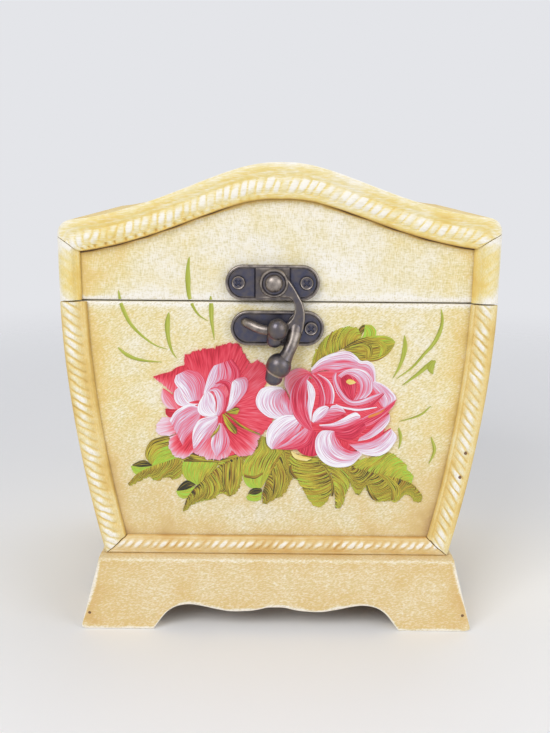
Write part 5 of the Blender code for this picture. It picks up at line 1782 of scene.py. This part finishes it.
# Leaves behind the flowers: loads run from dark (0) through olive to lime (0.85 and more).
LEFT_LEAVES = (
    Stroke((500, 900, 700, 960, 900, 980, 1100, 960, 1250, 880),
        (545, 1062, 700, 1104, 900, 1116, 1100, 1070, 1262, 1010), (0.3, 0.42, 0.5)),
    Stroke((520, 860, 430, 880, 340, 912, 296, 985, 296, 1050, 345, 1120),
        (560, 1040, 540, 1060, 500, 1078, 450, 1092, 400, 1105, 350, 1122), (0.32, 0.6, 0.84, 0.92)),
    Stroke((185, 1112, 240, 1082, 290, 1075, 345, 1108), (190, 1125, 240, 1135, 290, 1130, 350, 1120),
        (0, 0.02)),
    Stroke((172, 1122, 190, 1165, 225, 1195, 262, 1170), (200, 1122, 250, 1130, 310, 1126, 352, 1118),
        (0.9, 0.95)),
    Stroke((148, 1268, 225, 1185, 330, 1130, 450, 1090, 540, 1062, 610, 1090),
        (165, 1286, 245, 1246, 322, 1214, 390, 1246, 462, 1214, 536, 1232, 604, 1190),
        (0.5, 0.36, 0.5, 0.66), ACROSS, (0.55, 0.45, 0.55, 0.6), 0.4, 1.1),
    Stroke((610, 1075, 660, 1060, 720, 1080, 900, 1090), (610, 1130, 680, 1110, 760, 1120, 880, 1110),
        (0.12, 0.3)),
    Stroke((606, 1085, 596, 1150, 614, 1212, 660, 1256, 722, 1277),
        (905, 1092, 882, 1132, 842, 1182, 792, 1240, 746, 1277), (0.88, 0.85, 0.74, 0.6)),
    Stroke((553, 1318, 588, 1270, 640, 1240, 706, 1270), (560, 1332, 600, 1322, 650, 1306, 706, 1276),
        (0, 0.04)),
    Stroke((546, 1326, 566, 1368, 606, 1390, 650, 1378), (575, 1324, 620, 1318, 665, 1302, 706, 1280),
        (0.9, 0.95)),
    Stroke((600, 1494, 634, 1390, 700, 1300, 790, 1222, 880, 1140, 975, 1078, 1080, 1040),
        (618, 1494, 690, 1434, 770, 1408, 850, 1394, 920, 1346, 990, 1372, 1052, 1325, 1090, 1220,
         1108, 1070), (0.2, 0.45, 0.38, 0.6), ACROSS, (0.3, 0.5, 0.4, 0.55), 0.4, 1.2),
    Stroke((780, 1235, 800, 1290, 800, 1350, 780, 1395), (850, 1180, 900, 1250, 910, 1310, 860, 1385),
        (0.3, 0.55, 0.42, 0.6)),
    Stroke((930, 1110, 925, 1200, 935, 1290, 980, 1362), (1090, 1060, 1085, 1180, 1062, 1280, 1010, 1358),
        (0.3, 0.52, 0.45, 0.62)),
    Stroke((1250, 872, 1215, 975, 1135, 1045, 1096, 1130, 1100, 1220, 1140, 1290, 1215, 1306),
        (1300, 890, 1330, 950, 1425, 985, 1385, 1068, 1342, 1142, 1300, 1220, 1252, 1300),
        (0.5, 0.62, 0.42, 0.58), ALONG, (0.88, 0.85, 0.8, 0.62)),
    Stroke(
        (1105, 1180, 1140, 1195, 1200, 1200, 1262, 1170), (1110, 1215, 1150, 1222, 1200, 1225, 1262, 1190),
        (0.18, 0.3)),
    Stroke(
        (1140, 1350, 1160, 1318, 1205, 1300, 1255, 1312), (1150, 1362, 1180, 1360, 1220, 1352, 1252, 1330),
        (0.02, 0.1)),
    Stroke(
        (1124, 1376, 1140, 1402, 1190, 1412, 1245, 1402), (1150, 1352, 1190, 1358, 1225, 1350, 1256, 1332),
        (0.92, 0.9)),
    Stroke((1258, 1428, 1262, 1330, 1302, 1220, 1362, 1110, 1432, 985),
        (1286, 1434, 1350, 1398, 1410, 1372, 1452, 1330, 1480, 1270, 1502, 1215, 1484, 1130, 1488, 985),
        (0.22, 0.45, 0.34, 0.5), ACROSS, (0.4, 0.42, 0.36, 0.45), 0.4, 1.1),
    Stroke(
        (1330, 1175, 1345, 1250, 1340, 1330, 1330, 1395), (1400, 1060, 1450, 1180, 1440, 1290, 1392, 1378),
        (0.25, 0.5, 0.35, 0.55)),
)
RIGHT_LEAVES = (
    Stroke((430, 940, 560, 980, 700, 1000, 860, 1040, 1000, 1000),
        (470, 1080, 600, 1100, 740, 1120, 900, 1110, 1070, 1100), (0.42, 0.5, 0.42)),
    Stroke((640, 985, 715, 1040, 775, 1135, 800, 1230, 772, 1318),
        (468, 985, 474, 1080, 520, 1165, 568, 1240, 632, 1350, 700, 1388, 766, 1335),
        (0.45, 0.42, 0.52, 0.62), ACROSS, (0.4, 0.5, 0.55, 0.66), 0.3, 0.4),
    Stroke((470, 1060, 462, 1110, 490, 1155, 522, 1166), (486, 1050, 490, 1100, 510, 1135, 540, 1160),
        (0.1, 0.35)),
    Stroke((690, 990, 765, 1060, 806, 1165, 820, 1280, 826, 1396),
        (905, 1040, 938, 1130, 938, 1210, 902, 1292, 892, 1345, 860, 1396),
        (0.4, 0.52, 0.6, 0.66), ACROSS, (0.5, 0.58, 0.6, 0.66), 0.25, -0.5),
    Stroke((690, 1035, 745, 1090, 785, 1170, 796, 1240, 790, 1300),
        (704, 1035, 764, 1092, 806, 1170, 818, 1240, 806, 1300), (0.2, 0.36)),
    Stroke((930, 1078, 1040, 1108, 1155, 1140, 1268, 1164, 1345, 1186, 1424, 1216),
        (960, 1040, 1060, 1005, 1190, 978, 1262, 962, 1318, 1000, 1382, 1058, 1386, 1090, 1434, 1140,
         1424, 1184), (0.42, 0.55, 0.6, 0.66), ACROSS, (0.62, 0.8, 0.92, 0.95), 0.25, -0.4),
    Stroke((905, 1060, 1010, 1085, 1130, 1118, 1250, 1142, 1340, 1168, 1430, 1208, 1502, 1286),
        (925, 1090, 945, 1200, 1002, 1292, 1060, 1236, 1112, 1315, 1165, 1342, 1240, 1336, 1310, 1342,
         1352, 1302, 1402, 1288, 1446, 1344, 1492, 1344, 1506, 1300),
        (0.36, 0.48, 0.4, 0.6), ACROSS, (0.3, 0.46, 0.5, 0.6), 0.4, 1.1),
    Stroke(
        (1066, 1215, 1080, 1270, 1110, 1318, 1140, 1335), (1084, 1205, 1104, 1250, 1136, 1300, 1160, 1330),
        (0.08, 0.35)),
    Stroke(
        (1130, 1118, 1210, 1180, 1260, 1250, 1262, 1330), (1240, 1140, 1310, 1200, 1340, 1262, 1326, 1330),
        (0.3, 0.52, 0.45, 0.62)),
)
UPPER_LEAVES = (
    Stroke((104, 1290, 200, 1228, 300, 1160, 400, 1108, 525, 1046),
        (98, 1276, 130, 1150, 196, 1052, 290, 972, 400, 928, 496, 940, 545, 990),
        (0.24, 0.48, 0.36, 0.56), ACROSS, (0.5, 0.6, 0.66, 0.8), 0.3, -0.6),
    Stroke(
        (508, 950, 540, 915, 575, 912, 590, 940), (530, 1000, 545, 985, 560, 970, 580, 960), (0.12, 0.3)),
    Stroke(
        (566, 915, 620, 915, 662, 960, 660, 1010), (560, 960, 556, 990, 540, 1020, 525, 1046), (0.9, 0.92)),
    Stroke((372, 1118, 460, 1062, 580, 1018, 700, 1006, 790, 1024, 830, 1062),
        (392, 1130, 450, 1186, 540, 1226, 660, 1228, 762, 1172, 818, 1098),
        (0.16, 0.34, 0.5, 0.42), ALONG, (0.9, 0.7, 0.5, 0.55)),
    Stroke((430, 1100, 540, 1070, 620, 1090, 640, 1170), (440, 1125, 520, 1110, 570, 1140, 570, 1215),
        (0.3, 0.6, 0.45, 0.55)),
    Stroke((560, 1065, 680, 1050, 750, 1080, 752, 1150), (600, 1090, 670, 1090, 700, 1120, 680, 1200),
        (0.35, 0.6, 0.42, 0.52)),
)
# The left flower: loads run from deep red (0) to white (1).
LEFT_FLOWER = (
    Stroke((760, 330, 620, 420, 520, 520, 530, 700, 560, 860, 640, 980, 760, 1040),
        (900, 250, 1100, 300, 1230, 420, 1230, 640, 1200, 860, 1080, 1000, 900, 1060), (0.24, 0.16, 0.22)),
    Stroke((1000, 560, 960, 620, 960, 690, 975, 720),
        (1150, 262, 1178, 272, 1222, 254, 1284, 300, 1292, 420, 1250, 520, 1202, 604, 1262, 662, 1346, 730,
         1292, 822, 1232, 872), (0.4, 0.18, 0.26, 0.2), ACROSS, (0.16, 0.24, 0.3, 0.22), 0.55),
    Stroke((960, 560, 900, 560, 880, 600),
        (1152, 262, 1112, 205, 1082, 142, 1040, 108, 960, 114, 884, 138, 856, 168),
        (0.45, 0.4, 0.24, 0.1), ACROSS, (0.45, 0.4, 0.24, 0.1), 0.5),
    Stroke((870, 560, 800, 580, 720, 580), (866, 172, 850, 150, 780, 156, 700, 178, 622, 214, 612, 330),
        (0.45, 0.3, 0.14, 0.06), ACROSS, (0.45, 0.4, 0.3, 0.16), 0.5),
    Stroke((358, 384, 430, 360, 500, 342, 560, 304, 640, 300, 700, 420),
        (362, 392, 430, 442, 490, 492, 540, 530, 600, 560, 700, 560),
        (0.06, 0.12, 0.3, 0.5), ACROSS, (0.1, 0.2, 0.3, 0.4), 0.25),
    Stroke((432, 486, 424, 560, 462, 628, 540, 672), (440, 482, 490, 512, 540, 560, 580, 650),
        (0.85, 0.5, 0.3)),
    Stroke((560, 650, 580, 700, 560, 740), (458, 648, 462, 690, 490, 720), (0.1, 0), ACROSS),
    Stroke((600, 720, 600, 780, 580, 830), (430, 718, 388, 780, 384, 830, 430, 866, 500, 868),
        (0.2, 0.45, 0.8, 0.97), ACROSS, (0.3, 0.5, 0.8, 0.95), 0.4),
    Stroke((740, 780, 700, 840, 760, 880), (492, 880, 490, 960, 526, 1026, 590, 1056, 650, 1038, 706, 980),
        (0.35, 0.12, 0.1, 0.8), ACROSS, (0.35, 0.2, 0.24, 0.86), 0.4),
    Stroke((840, 860, 900, 860, 960, 860), (690, 1004, 756, 1042, 850, 1066, 950, 1054, 1012, 988),
        (0.4, 0.42, 0.6, 0.8), ACROSS, (0.3, 0.3, 0.45, 0.7), 0.5),
    Stroke((930, 720, 930, 780, 960, 860),
        (1238, 845, 1226, 905, 1192, 1000, 1132, 1036, 1060, 1032, 1008, 990),
        (0.05, 0.1, 0.24, 0.6), ACROSS, (0.1, 0.15, 0.3, 0.66), 0.4),
    Stroke((545, 372, 534, 430, 590, 505, 652, 592), (640, 322, 742, 350, 788, 432, 772, 565),
        (0.97, 0.8, 0.62, 0.45, 0.3)),
    Stroke((858, 292, 824, 345, 792, 440, 772, 525), (1010, 238, 1072, 330, 1050, 425, 880, 470),
        (0.88, 0.66, 0.42, 0.3, 0.2), ALONG, (0.96, 0.82, 0.62, 0.45, 0.3)),
    Stroke((566, 470, 534, 505, 532, 565, 566, 614, 640, 636),
        (575, 478, 600, 520, 625, 560, 664, 600, 740, 606), (1, 0.86, 0.95)),
    Stroke((494, 742, 538, 672, 600, 630, 665, 610, 738, 634),
        (604, 952, 630, 890, 680, 830, 730, 770, 750, 700), (0.98, 0.55, 0.68, 0.5, 0.62, 0.36)),
    Stroke(
        (866, 440, 940, 446, 980, 530, 938, 690), (930, 400, 1010, 430, 1004, 540, 960, 680), (0.12, 0.26)),
    Stroke((1008, 426, 992, 520, 980, 600, 958, 668), (1050, 392, 1128, 396, 1130, 500, 1000, 660),
        (1, 0.86, 0.7, 0.5)),
    Stroke((836, 474, 900, 470, 958, 540, 950, 640, 908, 706),
        (790, 522, 850, 500, 880, 560, 884, 620, 874, 700), (0.3, 0.55, 0.75, 0.9)),
    Stroke((780, 520, 742, 584, 722, 645, 750, 695, 810, 712, 880, 700),
        (810, 500, 850, 530, 872, 590, 872, 640, 874, 670, 880, 690), (1, 0.95, 0.84, 0.98)),
    Stroke((884, 704, 800, 716, 738, 738, 700, 786, 684, 832, 680, 890),
        (894, 716, 884, 780, 836, 870, 766, 958, 720, 1000, 690, 1002), (1, 0.8, 0.95, 0.78, 0.6, 0.5)),
    Stroke((902, 762, 852, 860, 834, 930, 850, 990, 882, 1042),
        (930, 768, 974, 860, 988, 930, 952, 1000, 888, 1042), (0.9, 0.62, 0.75, 0.4, 0.55)),
)
# The strokes of each flower that are laid thick behind the others.
LEFT_BACK_STROKES = 11
RIGHT_BACK_STROKES = 3
# The right rose.
RIGHT_ROSE = (
    Stroke((520, 400, 500, 560, 520, 720, 560, 860, 680, 950, 840, 990),
        (1060, 310, 1190, 520, 1225, 660, 1200, 800, 1110, 900, 900, 960), (0.26, 0.16, 0.22)),
    Stroke((426, 430, 436, 360, 490, 312, 560, 298, 636, 330),
        (480, 540, 500, 450, 560, 390, 600, 360, 640, 350), (0.8, 0.6, 0.4), ALONG, (0.4, 0.3, 0.25)),
    Stroke((640, 330, 800, 318, 1000, 318, 1130, 430, 1210, 560, 1240, 640),
        (640, 820, 720, 830, 820, 840, 930, 880, 1060, 880, 1180, 760), (0.3, 0.24, 0.14, 0.2)),
    Stroke((634, 302, 700, 232, 780, 190, 860, 168, 935, 168, 990, 205, 1025, 240, 1085, 242, 1132, 290,
         1142, 400),
        (640, 340, 740, 312, 830, 330, 900, 318, 960, 306, 1010, 306, 1050, 320, 1080, 340, 1100, 380,
         1110, 440), (1, 0.9, 0.55, 0.66, 0.4)),
    Stroke((1128, 396, 1200, 424, 1268, 478, 1302, 532, 1262, 604),
        (1100, 430, 1140, 490, 1160, 545, 1175, 575, 1190, 600), (0.95, 0.7, 0.75, 0.45)),
    Stroke((500, 900, 560, 964, 640, 986, 700, 966), (560, 800, 620, 790, 660, 790, 720, 800),
        (0.1, 0.16), ACROSS, (0.1, 0.16), 0.4),
    Stroke((400, 446, 330, 438, 246, 458, 203, 540, 222, 612, 290, 672, 352, 692),
        (440, 480, 450, 500, 462, 530, 474, 570, 482, 610, 488, 640, 490, 664),
        (1, 0.9, 0.68, 0.5, 0.22), ALONG, (1, 0.95, 0.85, 0.7, 0.6)),
    Stroke((318, 924, 420, 880, 540, 800, 600, 750), (430, 934, 540, 928, 632, 890, 668, 790),
        (0.75, 0.4, 0.24, 0.15)),
    Stroke((510, 662, 430, 664, 362, 694, 300, 762, 284, 832, 292, 892, 322, 926),
        (560, 720, 560, 750, 540, 790, 500, 830, 450, 870, 400, 900, 340, 930),
        (1, 0.96, 0.9, 0.62, 0.34), ALONG, (1, 0.96, 0.85, 0.6, 0.4)),
    Stroke((600, 338, 520, 388, 476, 470, 470, 560, 496, 660, 560, 742, 642, 796),
        (630, 346, 606, 420, 596, 520, 600, 600, 616, 670, 632, 730, 648, 780),
        (0.5, 0.2, 0.36, 0.18, 0.5)),
    Stroke((600, 388, 606, 450, 612, 520, 604, 600, 622, 680, 634, 712),
        (606, 386, 648, 432, 668, 492, 656, 580, 642, 640, 638, 712), (0.75, 0.98, 0.9)),
    Stroke((616, 346, 660, 392, 688, 450, 700, 520, 690, 600),
        (650, 342, 704, 398, 734, 470, 748, 540, 740, 590), (0.12, 0.28, 0.2, 0.8)),
    Stroke((664, 340, 710, 384, 738, 440, 750, 500, 745, 575),
        (692, 340, 768, 386, 808, 450, 818, 510, 808, 572), (0.3, 0.2, 0.45, 0.98)),
    Stroke((846, 350, 846, 430, 886, 506, 960, 552), (900, 330, 964, 360, 990, 430, 966, 548),
        (0.3, 0.05, 0.1, 0.3)),
    Stroke((846, 352, 900, 316, 980, 298, 1062, 320, 1114, 384, 1112, 470, 1060, 530),
        (870, 372, 910, 346, 950, 350, 990, 380, 1012, 430, 1000, 490, 966, 548),
        (0.95, 0.6, 0.8, 0.5, 0.68, 0.4)),
    Stroke((822, 328, 800, 372, 828, 470, 886, 552, 960, 590, 1060, 572, 1150, 530, 1202, 488),
        (836, 334, 838, 390, 866, 460, 910, 516, 962, 548, 1030, 540, 1100, 512, 1196, 484),
        (0.6, 0.35, 0.85, 0.4)),
    Stroke((900, 590, 1000, 600, 1100, 570, 1204, 492), (960, 618, 1040, 616, 1120, 592, 1206, 500),
        (0.4, 0.1, 0.2)),
    Stroke((1012, 700, 1100, 655, 1200, 606, 1302, 538), (1050, 760, 1130, 728, 1210, 672, 1280, 590),
        (0.5, 0.12, 0.25, 0.45)),
    Stroke((826, 574, 870, 592, 930, 604, 1010, 612, 1150, 598),
        (836, 590, 880, 608, 940, 622, 1010, 630, 1150, 604), (0.98, 0.9)),
    Stroke((1000, 866, 1090, 846, 1180, 792, 1244, 720, 1252, 660),
        (1020, 830, 1090, 780, 1140, 730, 1190, 690, 1244, 650), (0.98, 0.75, 0.6, 0.3)),
    Stroke((1020, 960, 1080, 976, 1160, 982, 1228, 950, 1280, 890, 1306, 830, 1270, 780),
        (930, 890, 1010, 884, 1090, 866, 1160, 836, 1210, 800, 1240, 780, 1260, 770),
        (0.97, 0.86, 0.92, 0.62, 0.75, 0.36)),
    Stroke((700, 744, 820, 744, 930, 716, 1030, 686), (740, 790, 850, 840, 960, 850, 1070, 760),
        (0.5, 0.16, 0.1, 0.2)),
    Stroke((786, 782, 722, 784, 680, 828, 666, 884, 676, 956, 722, 1022, 792, 1062, 872, 1070, 954, 1050,
         1032, 972),
        (820, 786, 822, 800, 828, 820, 840, 846, 856, 872, 878, 900, 906, 922, 936, 938, 966, 946,
         1010, 944),
        (1, 0.95, 0.72, 0.85, 0.6, 0.36)),
    Stroke((776, 616, 800, 588, 846, 586, 884, 612, 906, 640),
        (664, 722, 740, 718, 800, 704, 850, 680, 900, 646), (0.95, 0.6, 0.38, 0.3)),
    Stroke((642, 712, 652, 650, 690, 606, 742, 588, 774, 600),
        (652, 722, 690, 706, 730, 680, 760, 645, 776, 604), (1, 0.96, 0.86, 0.6)),
    Stroke((698, 738, 800, 726, 880, 690, 930, 660, 984, 640, 1018, 664),
        (704, 748, 820, 750, 900, 736, 970, 716, 1010, 698, 1022, 680), (0.95, 0.98, 0.75, 0.5)),
)
# Flower hearts and calyx in green and ochre.
HEARTS = (
    Stroke((962, 672, 1000, 650, 1040, 634, 1068, 644), (985, 682, 1026, 688, 1048, 690, 1066, 664),
        (0.4, 0.5)),
    Stroke(
        (928, 690, 948, 756, 984, 814, 1030, 850), (944, 690, 992, 748, 1044, 806, 1046, 846), (0.6, 0.42)),
    Stroke((946, 682, 1010, 736, 1090, 800, 1240, 862), (956, 678, 1030, 734, 1110, 792, 1240, 854),
        (0.4, 0.5)),
    Stroke((902, 776, 884, 810, 850, 850, 830, 880), (910, 782, 896, 824, 866, 858, 834, 884), (0.55, 0.5)),
)
GOLD_DOTS = (
    Stroke((908, 396, 930, 380, 960, 386, 984, 404), (912, 408, 936, 422, 962, 418, 984, 410), (0.8, 0.95)),
    Stroke((1080, 668, 1120, 652, 1170, 636, 1210, 612), (1084, 684, 1126, 670, 1176, 646, 1212, 618),
        (0.2, 0.3)),
    Stroke((478, 950, 500, 990, 540, 1010, 600, 1020), (484, 938, 512, 966, 560, 980, 640, 1000),
        (0.97, 1.05)),
)
# Grass blades: middle line in photo pixels, greatest width in mm, place of the greatest width.
GRASS = (
    ((118.5, 290, 120.4, 301.4, 124.9, 313, 130.6, 323.7, 140.8, 334.6, 154.8, 344.8, 168, 349.5),
     1.35, 0.25),
    ((189.3, 256.8, 188, 268.3, 188, 283.6, 189.3, 296.3, 193.8, 307.8, 199.5, 315.5, 208, 321), 1.75, 0.3),
    ((210.7, 295.7, 211.2, 306.5, 211.6, 319.3, 212.9, 329.5, 214.4, 340), 1.7, 0.3),
    ((168.9, 312.3, 167.6, 321.8, 167.6, 332, 169.5, 343.5, 172.7, 352.4, 177, 358.5), 1.8, 0.25),
    ((117.9, 347.3, 125.5, 353.7, 134.4, 358.2, 145.9, 360.7, 162, 362), 1.25, 0.25),
    ((441.2, 309, 442.3, 321, 439.5, 332.5, 433.2, 344, 424, 354.3, 411.4, 368, 396, 379), 1.3, 0.3),
    ((404.5, 335.4, 405, 346.3, 402.7, 357.8, 398.7, 368.1, 392.5, 378.5), 1.7, 0.3),
    ((432.5, 360, 427, 366, 419, 373, 411, 379, 402, 385.5), 1.5, 0.25),
    ((431, 406, 418.8, 415.5, 399, 421.5), 0.6, 0.4),
    ((398.6, 427.6, 400.6, 438.4, 398.6, 449), 1.15, 0.35),
    ((431, 436.8, 434.4, 450.5, 428.6, 464), 1.15, 0.4),
    ((435.4, 360.5, 431.6, 364.5, 430.6, 369, 433, 374), 2.7, 0.5),
)


@dataclass
class Spray:
    """The spray of roses, leaves and grass painted on the front.

    Each stroke is a thin film of paint that stands on the board: a grid ruled between the stroke's
    two edges, with its border sunk into the board and closed by one face.
    """

    carcass: Carcass
    view: PhotoView
    step_along: float = 0.42 * MM
    step_across: float = 0.34 * MM
    # A film's height over the board before any is laid, and how much higher each one lies.
    film: float = 0.07 * MM
    layer: float = 0.012 * MM
    # Width of a film's sloping rim, and how deep its foot is sunk into the board.
    rim: float = 0.14 * MM
    sunk: float = 0.04 * MM
    # How far a blade's parts end from the seam.
    grass_gap: float = 0.2 * MM
    grass_points: int = 90
    # The least rows that a blade's part needs to be painted at all, and the least in a stroke.
    least_blade_rows: int = 6
    least_stroke_rows: int = 12
    # Half a blade's width at its ends.
    blade_end: float = 0.06 * MM
    layers_laid: int = 0

    def film_shape(self, first: np.ndarray, second: np.ndarray, stroke: Stroke) -> Shape:
        """A stroke's film between its edges on the board.

        A point is the edges' points mixed by the share across. Its load is read from the stroke's
        loads by that share, and runs evenly from the start's loads to the end's.

        Args:
            first: rows of (x, z) along the first edge.
            second: rows of (x, z) along the second edge, as many.
            stroke: the stroke's loads, lay and ragged end.

        Returns:
            The film.
        """
        self.layers_laid += 1
        seed = SEED + self.layers_laid
        random = np.random.default_rng(seed)
        along = lengths_along((first + second) / 2)
        width = float(np.linalg.norm(second - first, axis=1).max())
        if stroke.ragged_mm:
            hairs = random.normal(0, 0.5, len(second)) + waves(along, 2.6 * MM, seed)
            second = second + unit(second - first) * (hairs * stroke.ragged_mm * 0.8 * MM)[:, None]
        shares = edge_places(width, self.step_across, self.rim)
        flat = ruled(first, second, shares)
        index = numbered(*flat.shape[:2])
        ring = border(index)
        height = np.full(index.size, self.film + self.layer * self.layers_laid)
        height[ring] = -self.sunk
        points = upright(flat, self.carcass.panel - height.reshape(index.shape))
        start, end = (
            np.interp(shares, np.linspace(0, 1, len(loads)), loads)
            for loads in (stroke.loads, stroke.end_loads or stroke.loads)
        )
        share_along = (along / along[-1])[:, None]
        tone = start * (1 - share_along) + end * share_along + random.uniform(-0.03, 0.03)
        across, length = shares * width / MM, along[:, None] / MM
        if stroke.lay is ACROSS:
            across, length = length + stroke.arc * shares**2 * width / MM, across
        bristle = np.stack(np.broadcast_arrays(length, across), axis=-1).reshape(-1, 2)
        bristle = bristle + random.uniform(0, 90, 2)
        faces = quads(index).tolist() + [ring[::-1].tolist()]
        return Shape(points.reshape(-1, 3), faces, tone.ravel(), np.zeros(len(faces)), bristle)

    def on_board(self, pixels: np.ndarray) -> np.ndarray:
        """Photo pixels as rows of (x, z) on the front board."""
        return self.view.on_plane(pixels, self.carcass.front, self.carcass.panel)

    def edges(self, sheet: Sheet, stroke: Stroke) -> tuple:
        """A stroke's edges as smooth paths of equally many points on the board."""
        paths = [self.on_board(sheet.pixels(edge)) for edge in (stroke.first, stroke.second)]
        longest = max(lengths_along(path)[-1] for path in paths)
        step = self.step_along / 2 if stroke.ragged_mm else self.step_along
        count = max(self.least_stroke_rows, int(longest / step))
        # Close rows at each end let the rim fall steeply there.
        shares = edge_places(longest, longest / count, self.rim)
        smooth = [smooth_path(path, count) for path in paths]
        return tuple(at_lengths(path, lengths_along(path)[-1] * shares) for path in smooth)

    def build(self) -> None:
        """Paints grass, then leaves, then flowers, each from the lowest stroke to the highest."""
        self.build_grass()
        self.layers_laid = 0
        for name, sheet, strokes, finish in (
            ("upper_leaf", UPPER_SHEET, UPPER_LEAVES, LEAF_PAINT),
            ("left_leaves", LEFT_SHEET, LEFT_LEAVES, LEAF_PAINT),
            ("right_leaves", RIGHT_SHEET, RIGHT_LEAVES, LEAF_PAINT),
            ("left_flower_back", LEFT_SHEET, LEFT_FLOWER[:LEFT_BACK_STROKES], RED_PAINT),
            ("left_flower", LEFT_SHEET, LEFT_FLOWER[LEFT_BACK_STROKES:], ROSE_PAINT),
            ("right_rose_back", RIGHT_SHEET, RIGHT_ROSE[:RIGHT_BACK_STROKES], RED_PAINT),
            ("right_rose", RIGHT_SHEET, RIGHT_ROSE[RIGHT_BACK_STROKES:], ROSE_PAINT),
            ("hearts", LEFT_SHEET, HEARTS, LEAF_PAINT),
            ("gold_dots", RIGHT_SHEET, GOLD_DOTS, GOLD_PAINT),
        ):
            films = [self.film_shape(*self.edges(sheet, stroke), stroke) for stroke in strokes]
            make_piece(f"painted_{name}", sum(films[1:], films[0]), finish, Body.CHEST, None)

    def build_grass(self) -> None:
        """Paints the grass blades, parted at the seam between the lid and the body.

        A blade's half width rises as a power of the share along to its widest place and falls to
        nothing at its end.
        """
        parts = {Body.LID: [], Body.CHEST: []}
        share = np.linspace(0, 1, self.grass_points)
        for row, width_mm, widest in GRASS:
            path = smooth_path(self.on_board(pairs(row)), self.grass_points)
            rise = clipped(share / widest) ** 0.55
            fall = clipped((1 - share) / (1 - widest)) ** 0.8
            half = width_mm * MM / 2 * np.minimum(rise, fall) + self.blade_end
            side = right_of(path) * half[:, None]
            for body, keep in (
                (Body.LID, path[:, 1] > self.carcass.lid_low + self.grass_gap),
                (Body.CHEST, path[:, 1] < self.carcass.body_high - self.grass_gap),
            ):
                if keep.sum() > self.least_blade_rows:
                    stroke = Stroke((), (), (0.35, 0.6, 0.75))
                    parts[body].append(self.film_shape((path + side)[keep], (path - side)[keep], stroke))
        for body, films in parts.items():
            name = f"painted_grass_on_{body.name.lower()}"
            make_piece(name, sum(films[1:], films[0]), GRASS_PAINT, body, None)


def drive_brads(nodes: dict) -> None:
    """Makes each brad: a round wire whose end stands a hair proud of the paint.

    Args:
        nodes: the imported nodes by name.
    """
    for name in (n for n in nodes if "brad" in n):
        low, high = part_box(name)
        x, z = middle_of(name)
        back = "_back_" in name
        radius, reach = (high.x - low.x) / 2, high.y - low.y
        rows = np.array([
            (radius * 0.7, 0.0), (radius, 0.1 * MM), (radius, reach - HAIR),
            (radius * 0.85, reach + 2 * HAIR), (radius * 0.4, reach + 4 * HAIR),
            (radius * 0.1, reach + 4 * HAIR),
        ])
        start = np.array([x, low.y if back else high.y, z])
        shape = turned(rows, np.zeros(len(rows)), start, (0, 1 if back else -1, 0))
        make_piece(f"{name}_wire", shape, RUSTED, Body.CHEST, Slot.STEEL, (name,))


def dress_packed_nodes(nodes: dict) -> None:
    """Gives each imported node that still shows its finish.

    Args:
        nodes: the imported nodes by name.
    """
    for name, node in nodes.items():
        finish = None
        if name in ("body_floor", "base_top"):
            finish = BARE_BOARD
        elif name.endswith("_pin"):
            finish = STEEL
        elif name.startswith("hinge"):
            finish = BRONZE
        if finish:
            node.data.materials.clear()
            node.data.materials.append(finish.material())


def main() -> None:
    """Builds the whole scene in order."""
    logging.basicConfig(level=logging.INFO, format="%(message)s")
    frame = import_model()
    carcass = Carcass()
    view = PhotoView()
    view.build(carcass.front)
    Studio().build()
    carcass.build()
    Mouldings(carcass).build()
    Plinth(carcass).build()
    swing = next(j for j in frame["joints"] if j["name"] == "hook_swing")
    Latch(carcass, np.array(swing["pos_m"])).build()
    Spray(carcass, view).build()
    drive_brads(frame["nodes"])
    dress_packed_nodes(frame["nodes"])


if __name__ == "__main__":
    main()
